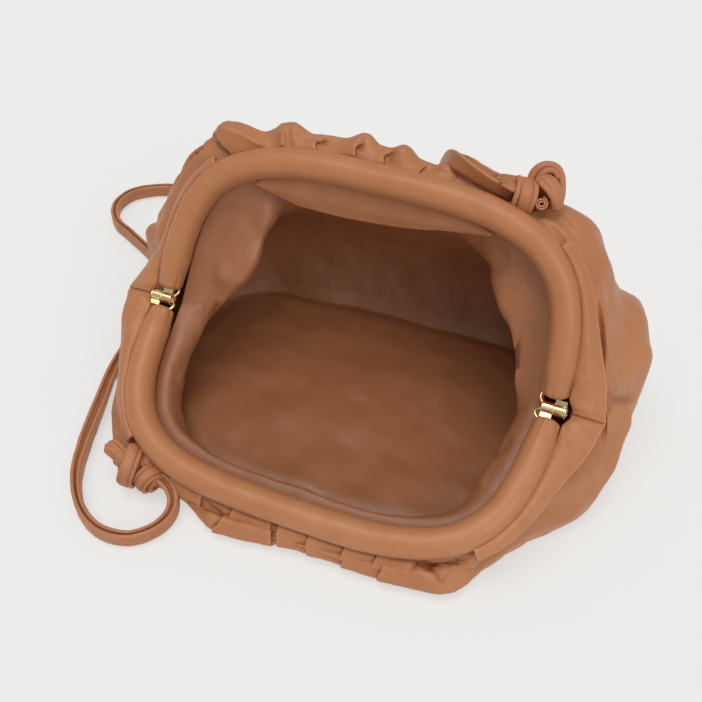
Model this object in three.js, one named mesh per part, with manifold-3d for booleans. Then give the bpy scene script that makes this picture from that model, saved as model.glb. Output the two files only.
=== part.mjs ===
// Slouchy leather crossbody bag, lying open on its flattened bottom.
// Millimetres, +Z up. The mouth is two U-shaped padded tubes, joined by a
// hinge at each side. Everything is laid out from the middle of the hinge
// axis (X along it, Y towards the back, Z above the floor) and the group is
// then shifted so that the origin is under the middle of the bag.
import * as THREE from 'three';
import Module from 'manifold-3d';

const wasm = await Module();
wasm.setup();

// ---- driving dimensions -------------------------------------------------
const HINGE_HALF = 96;        // half the distance between the hinges
const HINGE_Z = 53;           // hinge axis above the floor
const REACH = 79.2;           // how far each half reaches from the hinge axis
const SQUARENESS = 3.35;      // exponent of the mouth's rounded-U outline
const WAIST = 0.014;          // slight narrowing of the U halfway along its arms
const FRONT_TILT = -24.8;     // front half: degrees above the horizontal
const BACK_TILT = 57.7;       // back half
const TUBE_R = 7;             // padded tube
const TUBE_R_END = 5.6;       // where it is pinched into the hinge
const TUBE_CUT = 5.2;         // tube ends this far from the hinge axis
const WALL = 2;               // pouch leather
const LINING_WALL = 1.2;      // inner leather
const GAP = 0.3;              // clearance between touching pieces
const TAB_T = 2;              // thickness of the flaps beside the hinges
const STRAP_W = 8.5;          // folded strap
const STRAP_T = 4.6;
const ORIGIN = [2.05, 11.66];      // middle of the bag's box, measured from the hinge axis' middle

// ---- small helpers ------------------------------------------------------
const rad = (d) => (d * Math.PI) / 180;
const V = (x, y, z) => new THREE.Vector3(x, y, z);
const clamp = (x, a, b) => Math.min(b, Math.max(a, x));
const smooth = (a, b, x) => { const k = clamp((x - a) / (b - a), 0, 1); return k * k * (3 - 2 * k); };

// Cubic interpolation of one column of a table. Rows are at x = key.
function column(rows, key, name, period = 0) {
  const n = rows.length;
  const at = (i) => {
    if (!period) { const j = clamp(i, 0, n - 1); return [rows[j][key], rows[j][name]]; }
    const turns = Math.floor(i / n);
    return [rows[i - turns * n][key] + turns * period, rows[i - turns * n][name]];
  };
  const slope = (i) => {
    const [xa, ya] = at(i - 1), [xb, yb] = at(i + 1);
    return xb === xa ? 0 : (yb - ya) / (xb - xa);
  };
  return (x) => {
    if (period) x -= Math.floor((x - rows[0][key]) / period) * period;
    let i = 0;
    while (i < n - 1 && rows[i + 1][key] <= x) i++;
    if (!period && i === n - 1) return rows[n - 1][name];
    const [x0, y0] = at(i), [x1, y1] = at(i + 1), h = x1 - x0, k = (x - x0) / h;
    const m0 = slope(i) * h, m1 = slope(i + 1) * h;
    return (2 * k ** 3 - 3 * k * k + 1) * y0 + (k ** 3 - 2 * k * k + k) * m0
      + (-2 * k ** 3 + 3 * k * k) * y1 + (k ** 3 - k * k) * m1;
  };
}
const table = (names, data) => data.map((r) => Object.fromEntries(names.map((nm, i) => [nm, r[i]])));

// ---- the mouth ----------------------------------------------------------
// One half in its own plane: s across, h away from the hinge axis, as a
// rounded U resampled evenly. t runs 0..1 from the right hinge to the left.
const U_SAMPLES = 1200;
const uPoints = [];
for (let i = 0; i <= U_SAMPLES; i++) {
  const a = (i / U_SAMPLES) * Math.PI, c = Math.cos(a), q = 2 / SQUARENESS;
  const h = REACH * Math.pow(Math.sin(a), q);
  const waist = 1 - WAIST * Math.sin(Math.PI * h / REACH);
  uPoints.push([Math.sign(c) * HINGE_HALF * Math.pow(Math.abs(c), q) * waist, h]);
}
const uLength = [0];
for (let i = 1; i <= U_SAMPLES; i++) {
  uLength.push(uLength[i - 1] + Math.hypot(uPoints[i][0] - uPoints[i - 1][0], uPoints[i][1] - uPoints[i - 1][1]));
}
const HALF_LENGTH = uLength[U_SAMPLES];
function uAt(t) {
  const want = clamp(t, 0, 1) * HALF_LENGTH;
  let lo = 0, hi = U_SAMPLES;
  while (hi - lo > 1) { const mid = (lo + hi) >> 1; if (uLength[mid] <= want) lo = mid; else hi = mid; }
  const k = (want - uLength[lo]) / (uLength[hi] - uLength[lo]);
  return [uPoints[lo][0] + k * (uPoints[hi][0] - uPoints[lo][0]), uPoints[lo][1] + k * (uPoints[hi][1] - uPoints[lo][1])];
}
// u runs once round the mouth: 0 right hinge, 0.25 front middle, 0.5 left
// hinge, 0.75 back middle. Gives the tube's centre, the direction out of the
// mouth in the half's plane, and the direction down into the bag.
function mouth(u) {
  u -= Math.floor(u);
  const front = u < 0.5, t = front ? u * 2 : 2 - u * 2;
  const tilt = rad(front ? FRONT_TILT : BACK_TILT), dir = front ? -1 : 1;
  const lift = ([s, h]) => V(s, dir * h * Math.cos(tilt), HINGE_Z + h * Math.sin(tilt));
  const e = 0.004, a = uAt(Math.max(0, t - e)), b = uAt(Math.min(1, t + e));
  const along = [b[0] - a[0], b[1] - a[1]], len = Math.hypot(...along);
  let ns = along[1] / len, nh = -along[0] / len;
  const near = Math.min(t, 1 - t);
  const k = smooth(0, 0.05, near);
  ns = ns * k + Math.sign(ns || 1) * (1 - k); nh *= k;
  const out = V(ns, dir * nh * Math.cos(tilt), nh * Math.sin(tilt)).normalize();
  const downHalf = V(0, front ? -Math.sin(tilt) : Math.sin(tilt), -Math.cos(tilt));
  const mid = V(0, (-Math.sin(rad(FRONT_TILT)) + Math.sin(rad(BACK_TILT))) / 2,
    -(Math.cos(rad(FRONT_TILT)) + Math.cos(rad(BACK_TILT))) / 2).normalize();
  const w = smooth(0, 0.1, near);
  const down = downHalf.multiplyScalar(0.5 + 0.5 * w).add(mid.multiplyScalar(0.5 - 0.5 * w)).normalize();
  return { p: lift(uAt(t)), out, down, t, front };
}
const fromTube = (u, out, down) => {
  const m = mouth(u);
  return m.p.clone().addScaledVector(m.out, out).addScaledVector(m.down, down);
};

// ---- section tables -----------------------------------------------------
// Outer leather, one row a section. crown: where the gathered leather turns
// over beside the tube (out and down from its centre). shoulder, belly and
// foot are positions; the foot is on the floor. dip: how hollow the leather is
// between shoulder and belly (negative where it is full).
const BODY = table(
  ['u', 'crownOut', 'crownDown', 'shX', 'shY', 'shZ', 'beX', 'beY', 'beZ', 'ftX', 'ftY', 'dip'], [
  [0.000, 17, 11, 122, 3, 33, 127, 2, 18, 122, 3, 0],
  [0.045, 14, 10, 113, -18, 26, 118, -20, 13, 114, -18, 0],
  [0.085, 11, 9.5, 102, -40, 19, 106, -42, 10, 102, -40, 0],
  [0.125, 9.5, 9, 87, -60, 14, 92, -62, 7.5, 88, -60, 0],
  [0.160, 9.5, 9, 67, -73, 11, 74, -76, 6, 72, -73, 0],
  [0.200, 9, 8, 34, -77, 10, 36, -79, 5.5, 36, -76, 0],
  [0.250, 9, 8, 0, -78, 9.5, 0, -80, 5.5, 0, -77, 0],
  [0.300, 10, 8, -31, -81, 10, -32, -84, 5.5, -31, -81, 0],
  [0.332, 9, 8, -51, -74, 10, -53, -75, 6, -52, -73, 0],
  [0.375, 9.5, 9, -82, -66, 15, -87, -69, 8, -83, -66, 0],
  [0.415, 11, 9.5, -101, -48, 20, -106, -49, 10, -102, -47, 0],
  [0.455, 14, 10, -111, -24, 27, -116, -25, 13, -112, -23, 0],
  [0.500, 17, 11, -117, 6, 36, -124, 4, 22, -118, 5, 0],
  [0.528, 14, 11, -113, 13, 53, -121, 16, 44, -117, 19, 0],
  [0.543, 12, 11, -111, 20, 60, -119, 26, 51, -117, 28, 0],
  [0.557, 14, 12, -116, 28, 68, -128, 35, 60, -120, 38, 0.4],
  [0.588, 16, 12, -118, 43, 75, -126, 60, 50, -115, 58, 0],
  [0.620, 18, 9, -107, 48, 93, -113, 78, 50, -102, 74, -0.2],
  [0.640, 18, 8, -96, 53, 103, -103, 90, 52, -94, 80, -0.3],
  [0.662, 14, 11, -80, 62, 104, -88, 98, 52, -80, 83, -0.3],
  [0.690, 14, 11, -54, 72, 104, -56, 104, 52, -52, 86, -0.3],
  [0.750, 14, 11, 0, 76, 102, 0, 108, 50, 0, 88, -0.3],
  [0.790, 10, 12, 36, 74, 101, 38, 106, 52, 38, 89, -0.3],
  [0.840, 11, 12, 72, 76, 103, 79, 98, 54, 78, 88, -0.1],
  [0.868, 16, 11, 91, 68, 104, 99, 86, 55, 98, 83, 0],
  [0.880, 16, 11, 97, 60, 100, 105, 79, 57, 104, 79, 0.1],
  [0.893, 16, 11, 101, 53, 97, 118, 79, 58, 113, 75, 0.3],
  [0.915, 16, 11, 105, 41, 87, 126, 60, 60, 121, 62, 0.35],
  [0.938, 16, 11, 111, 27, 75, 132, 43, 58, 127, 47, 0.25],
  [0.952, 16, 11, 114, 20, 65, 130.5, 35, 48, 127, 39, 0.1],
  [0.966, 16, 11, 117, 12, 56, 129.5, 27, 39, 128, 31, 0],
]);
// Inner leather. tuck: under the tube; lobe: where it folds in; wall and
// foot as above.
const LINING = table(
  ['u', 'tuckOut', 'tuckDown', 'loX', 'loY', 'loZ', 'waX', 'waY', 'waZ', 'ftX', 'ftY'], [
  [0.000, -11, 8, 80, 4, 36, 108, 3, 18, 104, 3],
  [0.045, -12, 7, 77, -14, 30, 98, -14, 13, 94, -14],
  [0.090, -12, 7, 72, -33, 20, 84, -34, 11, 80, -32],
  [0.130, -12, 6.5, 62, -46, 13, 68, -49, 9, 62, -44],
  [0.190, -12, 6, 36, -54, 11, 40, -56, 8, 36, -50],
  [0.250, -12, 6, 0, -55, 10.5, 0, -57, 8, 0, -51],
  [0.310, -12, 6, -36, -54, 11, -40, -56, 8, -36, -50],
  [0.370, -12, 6.5, -62, -46, 13, -68, -49, 9, -62, -44],
  [0.410, -12, 7, -74, -32, 20, -86, -34, 12, -80, -32],
  [0.455, -12, 7, -79, -14, 30, -99, -13, 17, -94, -14],
  [0.500, -13, 8, -76, 5, 40, -108, 6, 24, -100, 6],
  [0.545, -15, 9, -68, 15, 53, -113, 28, 34, -101, 28],
  [0.585, -15, 9, -60, 27, 68, -112, 50, 38, -99, 50],
  [0.620, -12, 9, -57, 38, 84, -103, 66, 42, -92, 66],
  [0.655, -8, 9, -48, 51, 88, -83, 80, 42, -75, 74],
  [0.700, -6, 9, -30, 58, 90, -44, 90, 42, -41, 78],
  [0.750, -6, 9, 0, 60, 90, 0, 94, 40, 0, 80],
  [0.800, -6, 9, 30, 58, 90, 42, 92, 42, 40, 80],
  [0.845, -8, 9, 50, 51, 87, 73, 86, 44, 70, 79],
  [0.880, -12, 9, 61, 38, 82, 99, 72, 46, 90, 70],
  [0.915, -14, 9, 68, 25, 68, 113, 50, 42, 104, 52],
  [0.955, -13, 9, 75, 14, 52, 115, 28, 28, 108, 28],
]);
// Gathers. at: where; w: half width, both in u; rise: how far it stands out.
const PLEATS = table(['at', 'w', 'rise'], [
  [0.160, 0.015, 3.4], [0.185, 0.014, 2.2], [0.208, 0.014, 2.4], [0.231, 0.014, 2.4],
  [0.253, 0.012, 2.0], [0.277, 0.015, 2.6], [0.303, 0.018, 3.6], [0.334, 0.013, 1.2],
  [0.358, 0.014, 2.2], [0.637, 0.016, 5.5], [0.667, 0.015, 5.0],
  [0.722, 0.014, 4.0], [0.752, 0.014, 3.2], [0.778, 0.013, 2.0], [0.802, 0.014, 1.0],
  [0.828, 0.014, 1.0], [0.854, 0.014, 1.4],
]);
// Flaps beside each hinge: how far the free edge is from the tube's centre.
// slim is that of the back left one, which lies close beside the tube
const TAB = table(['t', 'reach', 'slim'], [[0, 23, 23], [0.045, 20.5, 15.5], [0.09, 16, 10.8], [0.14, 12.8, 10.4], [0.23, 11.2, 10.8]]);
const TAB_END = 0.23;

const bodyColumn = Object.fromEntries(Object.keys(BODY[0]).map((k) => [k, column(BODY, 'u', k, 1)]));
const liningColumn = Object.fromEntries(Object.keys(LINING[0]).map((k) => [k, column(LINING, 'u', k, 1)]));
const tabReach = column(TAB, 't', 'reach'), tabSlim = column(TAB, 't', 'slim');
// 1 beside a hinge, where a flap covers the edge of the pouch
const tabZone = (u) => { const t = mouth(u).t; return 1 - smooth(TAB_END - 0.01, TAB_END + 0.03, Math.min(t, 1 - t)); };

// ---- lofts --------------------------------------------------------------
// Centripetal spline through a section's control points, sampled by v 0..1.
const through = (points) => new THREE.CatmullRomCurve3(points, false, 'centripetal', 0.5);
const FLOOR_RINGS = [0.82, 0.5];  // the bottom, as shrunken copies of the foot

function bodySection(u) {
  const c = (k) => bodyColumn[k](u), z = tabZone(u);
  const rim = fromTube(u, 4.6 + 3.4 * z, 6.6 + 2.2 * z);
  const foot = V(c('ftX'), c('ftY'), 0), belly = V(c('beX'), c('beY'), c('beZ'));
  const shoulder = V(c('shX'), c('shY'), c('shZ')), drop = belly.clone().sub(shoulder), dip = c('dip');
  const between = shoulder.clone().lerp(belly, 0.5).add(V(-0.25 * dip * drop.x, -0.25 * dip * drop.y, 0.3 * dip * drop.z));
  return through([rim, fromTube(u, c('crownOut') * 0.75, c('crownDown') * 0.93 + 0.6 * z),
    fromTube(u, c('crownOut'), c('crownDown') + 2), shoulder, between, belly,
    foot.clone().lerp(belly, 0.45).setZ(belly.z * 0.22), foot]);
}
function liningSection(u) {
  const c = (k) => liningColumn[k](u), floor = WALL + GAP + LINING_WALL;
  const foot = V(c('ftX'), c('ftY'), floor), wall = V(c('waX'), c('waY'), c('waZ'));
  return through([fromTube(u, -5.2, 5.9), fromTube(u, c('tuckOut'), c('tuckDown')),
    V(c('loX'), c('loY'), c('loZ')), wall,
    foot.clone().lerp(wall, 0.4).setZ(floor + (wall.z - floor) * 0.2), foot]);
}
const pleatAt = (u) => PLEATS.reduce((sum, p) => {
  const x = (u - p.at) / p.w;
  return sum + (Math.abs(x) < 1 ? p.rise * Math.pow(Math.cos(x * Math.PI / 2), 2) : 0);
}, 0);

// Closed shell: an outer grid and an inner grid of rings, joined at the rim,
// each closed by a fan at the middle of the bottom.
function shell(outer, inner, centreOut, centreIn) {
  const rows = outer.length, n = outer[0].length, pos = [], index = [];
  for (const grid of [outer, inner]) for (const ring of grid) for (const p of ring) pos.push(p.x, p.y, p.z);
  const co = rows * n * 2, ci = co + 1;
  pos.push(...centreOut.toArray(), ...centreIn.toArray());
  const O = (r, j) => r * n + (j % n), I = (r, j) => rows * n + r * n + (j % n);
  const quad = (a, b, c, d) => index.push(a, b, c, a, c, d);
  for (let j = 0; j < n; j++) {
    for (let r = 0; r < rows - 1; r++) {
      quad(O(r, j), O(r + 1, j), O(r + 1, j + 1), O(r, j + 1));
      quad(I(r, j), I(r, j + 1), I(r + 1, j + 1), I(r + 1, j));
    }
    quad(O(0, j), O(0, j + 1), I(0, j + 1), I(0, j));
    index.push(O(rows - 1, j), co, O(rows - 1, j + 1));
    index.push(I(rows - 1, j), I(rows - 1, j + 1), ci);
  }
  const g = new THREE.BufferGeometry();
  g.setAttribute('position', new THREE.Float32BufferAttribute(pos, 3));
  g.setIndex(index);
  return facingOut(g);
}
// Signed volume, so that every solid's faces point out.
function facingOut(g) {
  const p = g.attributes.position, ix = g.index.array;
  const a = V(), b = V(), c = V();
  let vol = 0;
  for (let i = 0; i < ix.length; i += 3) {
    a.fromBufferAttribute(p, ix[i]); b.fromBufferAttribute(p, ix[i + 1]); c.fromBufferAttribute(p, ix[i + 2]);
    vol += a.dot(b.cross(c));
  }
  if (vol < 0) for (let i = 0; i < ix.length; i += 3) [ix[i + 1], ix[i + 2]] = [ix[i + 2], ix[i + 1]];
  g.computeVertexNormals();
  return g;
}
function loft(section, nu, nv, wall, floorZ, side, pleated, grow = 0) {
  const base = [], us = Array.from({ length: nu }, (_, j) => j / nu);
  const curves = us.map(section);
  for (let r = 0; r <= nv; r++) {
    base.push(curves.map((c) => { const q = c.getPoint(r / nv); q.z = Math.max(q.z, floorZ); return q; }));
  }
  const foot = base[nv];
  const centre = foot.reduce((s, p) => s.add(p), V(0, 0, 0)).divideScalar(nu);
  for (const f of FLOOR_RINGS) base.push(foot.map((p) => centre.clone().lerp(p, f)));
  const rows = base.length, at = (r, j) => base[clamp(r, 0, rows - 1)][(j + nu) % nu];
  const outer = [], inner = [];
  for (let r = 0; r < rows; r++) {
    outer.push([]); inner.push([]);
    for (let j = 0; j < nu; j++) {
      const p = base[r][j];
      let n = at(r, j + 1).clone().sub(at(r, j - 1)).cross(at(r + 1, j).clone().sub(at(r - 1, j))).normalize().multiplyScalar(side);
      if (r > nv) n = V(0, 0, -1);
      if (r === nv) n = n.add(V(0, 0, -1)).normalize();
      const v = r / nv;
      const swell = pleated && v < 1 ? pleatAt(us[j]) * smooth(0.0, 0.12, v) * (1 - smooth(0.25, 0.7, v)) : 0;
      const o = p.clone().addScaledVector(n, swell + grow); o.z = Math.max(o.z, floorZ - grow);
      const q = p.clone().addScaledVector(n, -wall);
      if (r >= nv) q.z = floorZ + wall;
      q.z = Math.max(q.z, floorZ + wall);
      outer[r].push(o); inner[r].push(q);
    }
  }
  return shell(outer, inner, V(centre.x, centre.y, floorZ - grow), V(centre.x, centre.y, floorZ + wall));
}

// Sweep of an ellipse along points, with flat ends. halves(k) gives the half
// width and half height at k = 0..1, and side(k) the direction of the width.
function sweep(points, sides, halves, side) {
  const n = points.length, pos = [], index = [];
  for (let i = 0; i < n; i++) {
    const k = i / (n - 1), t = points[Math.min(n - 1, i + 1)].clone().sub(points[Math.max(0, i - 1)]).normalize();
    const w = side(k); w.addScaledVector(t, -w.dot(t)).normalize();
    const h = t.clone().cross(w), [a, b] = halves(k);
    for (let s = 0; s < sides; s++) {
      const q = ((s + 0.5) / sides) * Math.PI * 2;
      const p = points[i].clone().addScaledVector(w, a * Math.cos(q)).addScaledVector(h, b * Math.sin(q));
      pos.push(p.x, p.y, p.z);
    }
  }
  for (let i = 0; i < n - 1; i++) for (let s = 0; s < sides; s++) {
    const a = i * sides + s, b = i * sides + ((s + 1) % sides), c = a + sides, d = b + sides;
    index.push(a, b, d, a, d, c);
  }
  for (let s = 1; s < sides - 1; s++) {
    index.push(0, s + 1, s);
    index.push((n - 1) * sides, (n - 1) * sides + s, (n - 1) * sides + s + 1);
  }
  const g = new THREE.BufferGeometry();
  g.setAttribute('position', new THREE.Float32BufferAttribute(pos, 3));
  g.setIndex(index);
  return facingOut(g);
}

// ---- the padded tubes ---------------------------------------------------
function tube(front) {
  const cut = TUBE_CUT / HALF_LENGTH, steps = 36, points = [];
  for (let i = 0; i <= steps; i++) {
    const t = cut + (1 - 2 * cut) * (i / steps);
    points.push(mouth(front ? t / 2 : 1 - t / 2).p);
  }
  const tilt = rad(front ? FRONT_TILT : BACK_TILT);
  const normal = V(0, front ? Math.sin(tilt) : -Math.sin(tilt), Math.cos(tilt));
  const r = (k) => TUBE_R_END + (TUBE_R - TUBE_R_END) * smooth(0, 0.05, Math.min(k, 1 - k));
  return sweep(points, 10, (k) => [r(k), r(k)], () => normal.clone());
}

// ---- flaps beside the hinges --------------------------------------------
function tab(front, right) {
  const steps = 9, across = 3, top = [], bottom = [];
  for (let i = 0; i <= steps; i++) {
    const t = 0.006 + (TAB_END - 0.006) * (i / steps), tt = right ? t : 1 - t;
    const u = front ? tt / 2 : 1 - tt / 2, reach = front || right ? tabReach(t) : tabSlim(t);
    const inner = TUBE_R + 0.7 + 2.3 * (1 - smooth(0.025, 0.06, t)); // pinched in beside the hinge
    top.push([]); bottom.push([]);
    for (let j = 0; j <= across; j++) {
      const k = j / across, out = inner + (reach - inner) * k;
      const down = 0.6 + 5.2 * k * k * smooth(0, 6, reach - inner);
      top[i].push(fromTube(u, out, down));
      bottom[i].push(fromTube(u, out - 1.2 * k, down + TAB_T));
    }
  }
  const pos = [], index = [], m = across + 1, half = (steps + 1) * m;
  for (const grid of [top, bottom]) for (const row of grid) for (const p of row) pos.push(p.x, p.y, p.z);
  const T = (i, j) => i * m + j, B = (i, j) => half + i * m + j;
  const quad = (a, b, c, d) => index.push(a, b, c, a, c, d);
  for (let i = 0; i < steps; i++) {
    for (let j = 0; j < across; j++) {
      quad(T(i, j), T(i, j + 1), T(i + 1, j + 1), T(i + 1, j));
      quad(B(i, j), B(i + 1, j), B(i + 1, j + 1), B(i, j + 1));
    }
    quad(T(i, 0), T(i + 1, 0), B(i + 1, 0), B(i, 0));
    quad(T(i, across), B(i, across), B(i + 1, across), T(i + 1, across));
  }
  for (let j = 0; j < across; j++) {
    quad(T(0, j), B(0, j), B(0, j + 1), T(0, j + 1));
    quad(T(steps, j), T(steps, j + 1), B(steps, j + 1), B(steps, j));
  }
  const g = new THREE.BufferGeometry();
  g.setAttribute('position', new THREE.Float32BufferAttribute(pos, 3));
  g.setIndex(index);
  return facingOut(g);
}

// ---- hinges -------------------------------------------------------------
const KNUCKLE_R = 2.9, KNUCKLE_L = 5, BORE_R = 1.35, PIN_R = 1.0, PIN_HEAD_R = 2.1, LEAF_T = 1.8;
// Knuckle and arm in one profile, extruded along the hinge axis. The arm
// points along its half of the frame and ends just short of the tube.
function knuckle(front, x0) {
  const tilt = rad(front ? FRONT_TILT : BACK_TILT);
  const a = front ? Math.PI - tilt : tilt;                       // direction in the Y-Z plane
  const end = TUBE_CUT - GAP, half = LEAF_T / 2, turn = Math.asin(half / KNUCKLE_R);
  const rot = (r, q) => new THREE.Vector2(r * Math.cos(q), r * Math.sin(q));
  const outline = [];
  for (let i = 0; i <= 20; i++) outline.push(rot(KNUCKLE_R, a + turn + (2 * Math.PI - 2 * turn) * (i / 20)));
  const dir = rot(1, a), perp = rot(1, a + Math.PI / 2);
  outline.push(dir.clone().multiplyScalar(end).addScaledVector(perp, -half));
  outline.push(dir.clone().multiplyScalar(end).addScaledVector(perp, half));
  const shape = new THREE.Shape(outline);
  const bore = new THREE.Path();
  bore.absarc(0, 0, BORE_R, 0, Math.PI * 2, true);
  shape.holes.push(bore);
  const g = new THREE.ExtrudeGeometry(shape, { depth: KNUCKLE_L, bevelEnabled: false, curveSegments: 12 });
  // shape x -> world Y, shape y -> world Z, extrusion -> world X
  g.applyMatrix4(new THREE.Matrix4().makeBasis(V(0, 1, 0), V(0, 0, 1), V(1, 0, 0)));
  g.translate(x0, 0, HINGE_Z);
  return g;
}
function pin(x0, x1) {
  const profile = [[0, x0 - 1], [PIN_HEAD_R * 0.7, x0 - 1], [PIN_HEAD_R, x0 - 0.5], [PIN_HEAD_R, x0 - GAP], [PIN_R, x0 - GAP],
    [PIN_R, x1 + GAP], [PIN_HEAD_R, x1 + GAP], [PIN_HEAD_R, x1 + 0.5], [PIN_HEAD_R * 0.7, x1 + 1], [0, x1 + 1]];
  const g = new THREE.LatheGeometry(profile.map(([r, x]) => new THREE.Vector2(r, x)), 16);
  g.rotateZ(-Math.PI / 2);                                        // lathe axis Y -> X
  g.translate(0, 0, HINGE_Z);
  return g;
}

// ---- facing under the back tube -----------------------------------------
const FACING = table(['u', 'drop'], [[0.642, 2], [0.66, 8], [0.68, 13], [0.71, 15], [0.74, 14.5], [0.77, 12.5], [0.80, 9.5], [0.84, 5]]);
const facingDrop = column(FACING, 'u', 'drop');
function facing() {
  const steps = 22, across = 2, t = 1.4, first = 0.642, last = 0.84, pos = [], index = [], m = across + 1, half = (steps + 1) * m;
  const front = [], back = [];
  for (let i = 0; i <= steps; i++) {
    const u = first + (last - first) * (i / steps), drop = facingDrop(u);
    for (let j = 0; j <= across; j++) {
      const k = j / across;
      const p = fromTube(u, -6.4 - 1.5 * k, 3.8).add(V(0, -1.5 * k, -drop * k));
      front.push(p); back.push(p.clone().add(V(0, t * 0.9, 0.2)));
    }
  }
  for (const p of [...front, ...back]) pos.push(p.x, p.y, p.z);
  const F = (i, j) => i * m + j, B = (i, j) => half + i * m + j;
  const quad = (a, b, c, d) => index.push(a, b, c, a, c, d);
  for (let i = 0; i < steps; i++) {
    for (let j = 0; j < across; j++) {
      quad(F(i, j), F(i, j + 1), F(i + 1, j + 1), F(i + 1, j));
      quad(B(i, j), B(i + 1, j), B(i + 1, j + 1), B(i, j + 1));
    }
    quad(F(i, 0), F(i + 1, 0), B(i + 1, 0), B(i, 0));
    quad(F(i, across), B(i, across), B(i + 1, across), F(i + 1, across));
  }
  for (let j = 0; j < across; j++) {
    quad(F(0, j), B(0, j), B(0, j + 1), F(0, j + 1));
    quad(F(steps, j), F(steps, j + 1), B(steps, j + 1), B(steps, j));
  }
  const g = new THREE.BufferGeometry();
  g.setAttribute('position', new THREE.Float32BufferAttribute(pos, 3));
  g.setIndex(index);
  return facingOut(g);
}

// ---- the strap ----------------------------------------------------------
// Centreline, and how far the flat band is rolled onto its edge (0 flat, 1 on edge).
const STRAP = table(['x', 'y', 'z', 'edge'], [
  [-60.6, -79.4, 12.4, 0.5], [-56.6, -82, 8.6, 0.8], [-54.2, -86, 5.6, 1], [-54.2, -91.3, 4.6, 1], [-57.2, -97, 4.6, 1],
  [-63, -101.9, 4.6, 1], [-71, -104.5, 4.6, 1], [-79, -104.2, 4.6, 1], [-87, -101.2, 4.6, 1], [-94.5, -95.8, 4.6, 1],
  [-101, -88.6, 4.6, 1], [-107, -78.6, 4.6, 0.95], [-112, -65.2, 4.5, 0.85], [-116, -52.6, 4.4, 0.75], [-120.5, -37, 4.4, 0.75],
  [-126, -18, 4.5, 0.8], [-130, 8, 4.6, 0.9], [-136, 44, 4.6, 1], [-150, 68.5, 4.7, 1], [-177, 85, 4.7, 1],
  [-192, 93, 4.7, 1], [-201, 107, 4.7, 1], [-199, 122, 4.7, 1], [-186, 133, 4.7, 1], [-160, 140, 4.7, 1],
  [-120, 141, 4.6, 0.9], [-80, 139, 4.4, 0.7], [-45, 132, 4, 0.4], [-20, 125, 5.5, 0], [-7, 119, 14, 0],
  [-1, 115.5, 34, 0], [3, 111.5, 56, 0], [7, 103, 78, 0], [12, 90, 98, 0], [17, 78, 111, 0.1], [21.5, 69, 119.8, 0.3],
  [26.5, 61, 125.4, 0.55], [33.5, 55.8, 127, 0.8], [42, 53.2, 125.2, 0.9], [51, 52.2, 123.4, 0.9],
]);
function strap() {
  const curve = through(STRAP.map((r) => V(r.x, r.y, r.z)));
  const steps = 78, points = curve.getPoints(steps).slice(0, steps + 1);
  const sides = [];
  for (let i = 0; i <= steps; i++) {
    const x = (i / steps) * (STRAP.length - 1), j = Math.min(STRAP.length - 2, Math.floor(x)), f = x - j;
    const edge = STRAP[j].edge * (1 - f) + STRAP[j + 1].edge * f;
    const t = points[Math.min(steps, i + 1)].clone().sub(points[Math.max(0, i - 1)]).normalize();
    // the band's flat side faces up on the floor, and out from the bag where it climbs
    const up = V(0, smooth(0.2, 0.9, Math.abs(t.z)) * 1.5 + 0.001, 1).normalize();
    const flat = t.clone().cross(up).normalize();
    const other = t.clone().cross(flat).normalize();
    sides.push(flat.multiplyScalar(Math.cos(edge * Math.PI / 2)).addScaledVector(other, Math.sin(edge * Math.PI / 2)));
  }
  return sweep(points, 8, () => [STRAP_W / 2, STRAP_T / 2], (k) => sides[Math.round(k * steps)].clone());
}

// ---- knots --------------------------------------------------------------
function solid(g) {
  g.deleteAttribute('normal'); g.deleteAttribute('uv');
  const p = g.attributes.position, map = new Map(), pos = [], ids = [];
  for (let i = 0; i < p.count; i++) {
    const key = [p.getX(i), p.getY(i), p.getZ(i)].map((x) => Math.round(x * 1e4)).join();
    if (!map.has(key)) { map.set(key, pos.length / 3); pos.push(p.getX(i), p.getY(i), p.getZ(i)); }
    ids.push(map.get(key));
  }
  const ix = g.index ? Array.from(g.index.array) : Array.from({ length: p.count }, (_, i) => i);
  const tri = [];
  for (let i = 0; i < ix.length; i += 3) {
    const [a, b, c] = [ids[ix[i]], ids[ix[i + 1]], ids[ix[i + 2]]];
    if (a !== b && b !== c && c !== a) tri.push(a, b, c);
  }
  return new wasm.Manifold(new wasm.Mesh({ numProp: 3, vertProperties: new Float32Array(pos), triVerts: new Uint32Array(tri) }));
}
function fromSolid(m) {
  const mesh = m.getMesh(), g = new THREE.BufferGeometry();
  g.setAttribute('position', new THREE.Float32BufferAttribute(Array.from(mesh.vertProperties), 3));
  g.setIndex(Array.from(mesh.triVerts));
  g.computeVertexNormals();
  return g;
}
// Rounded lump: an ellipsoid with its own axes, given as a centre, half sizes and turns.
function lump([x, y, z], [a, b, c], [rx, ry, rz]) {
  const g = new THREE.SphereGeometry(1, 12, 8);
  g.scale(a, b, c); g.rotateX(rad(rx)); g.rotateY(rad(ry)); g.rotateZ(rad(rz)); g.translate(x, y, z);
  return solid(g);
}
const KNOT_FRONT = [
  [[-69, -74, 12.5], [7.4, 6.6, 7], [0, 0, -20]],
  [[-79, -70, 12], [9, 8, 8.6], [0, 0, -30]],
  [[-92, -64.5, 10], [8.5, 5.6, 6], [0, 0, -50]],
];
const KNOT_BACK = [
  [[59.5, 53.5, 121], [5, 6.6, 7.8], [0, 15, -15]],
  [[69, 54.5, 127], [7.6, 7, 9.4], [0, 15, 0]],
];
// What a knot may not enter: the pouch's wall, grown by the clearance.
function keepOut() {
  return solid(loft(bodySection, 80, 13, WALL + 6, 0, 1, true, GAP + 0.1));
}
function knot(lumps) {
  const parts = lumps.map((l) => lump(...l));
  const whole = parts.slice(1).reduce((a, b) => a.add(b), parts[0]).subtract(keepOut());
  const pieces = whole.decompose().sort((a, b) => b.volume() - a.volume());
  return fromSolid(pieces[0]);
}

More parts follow.
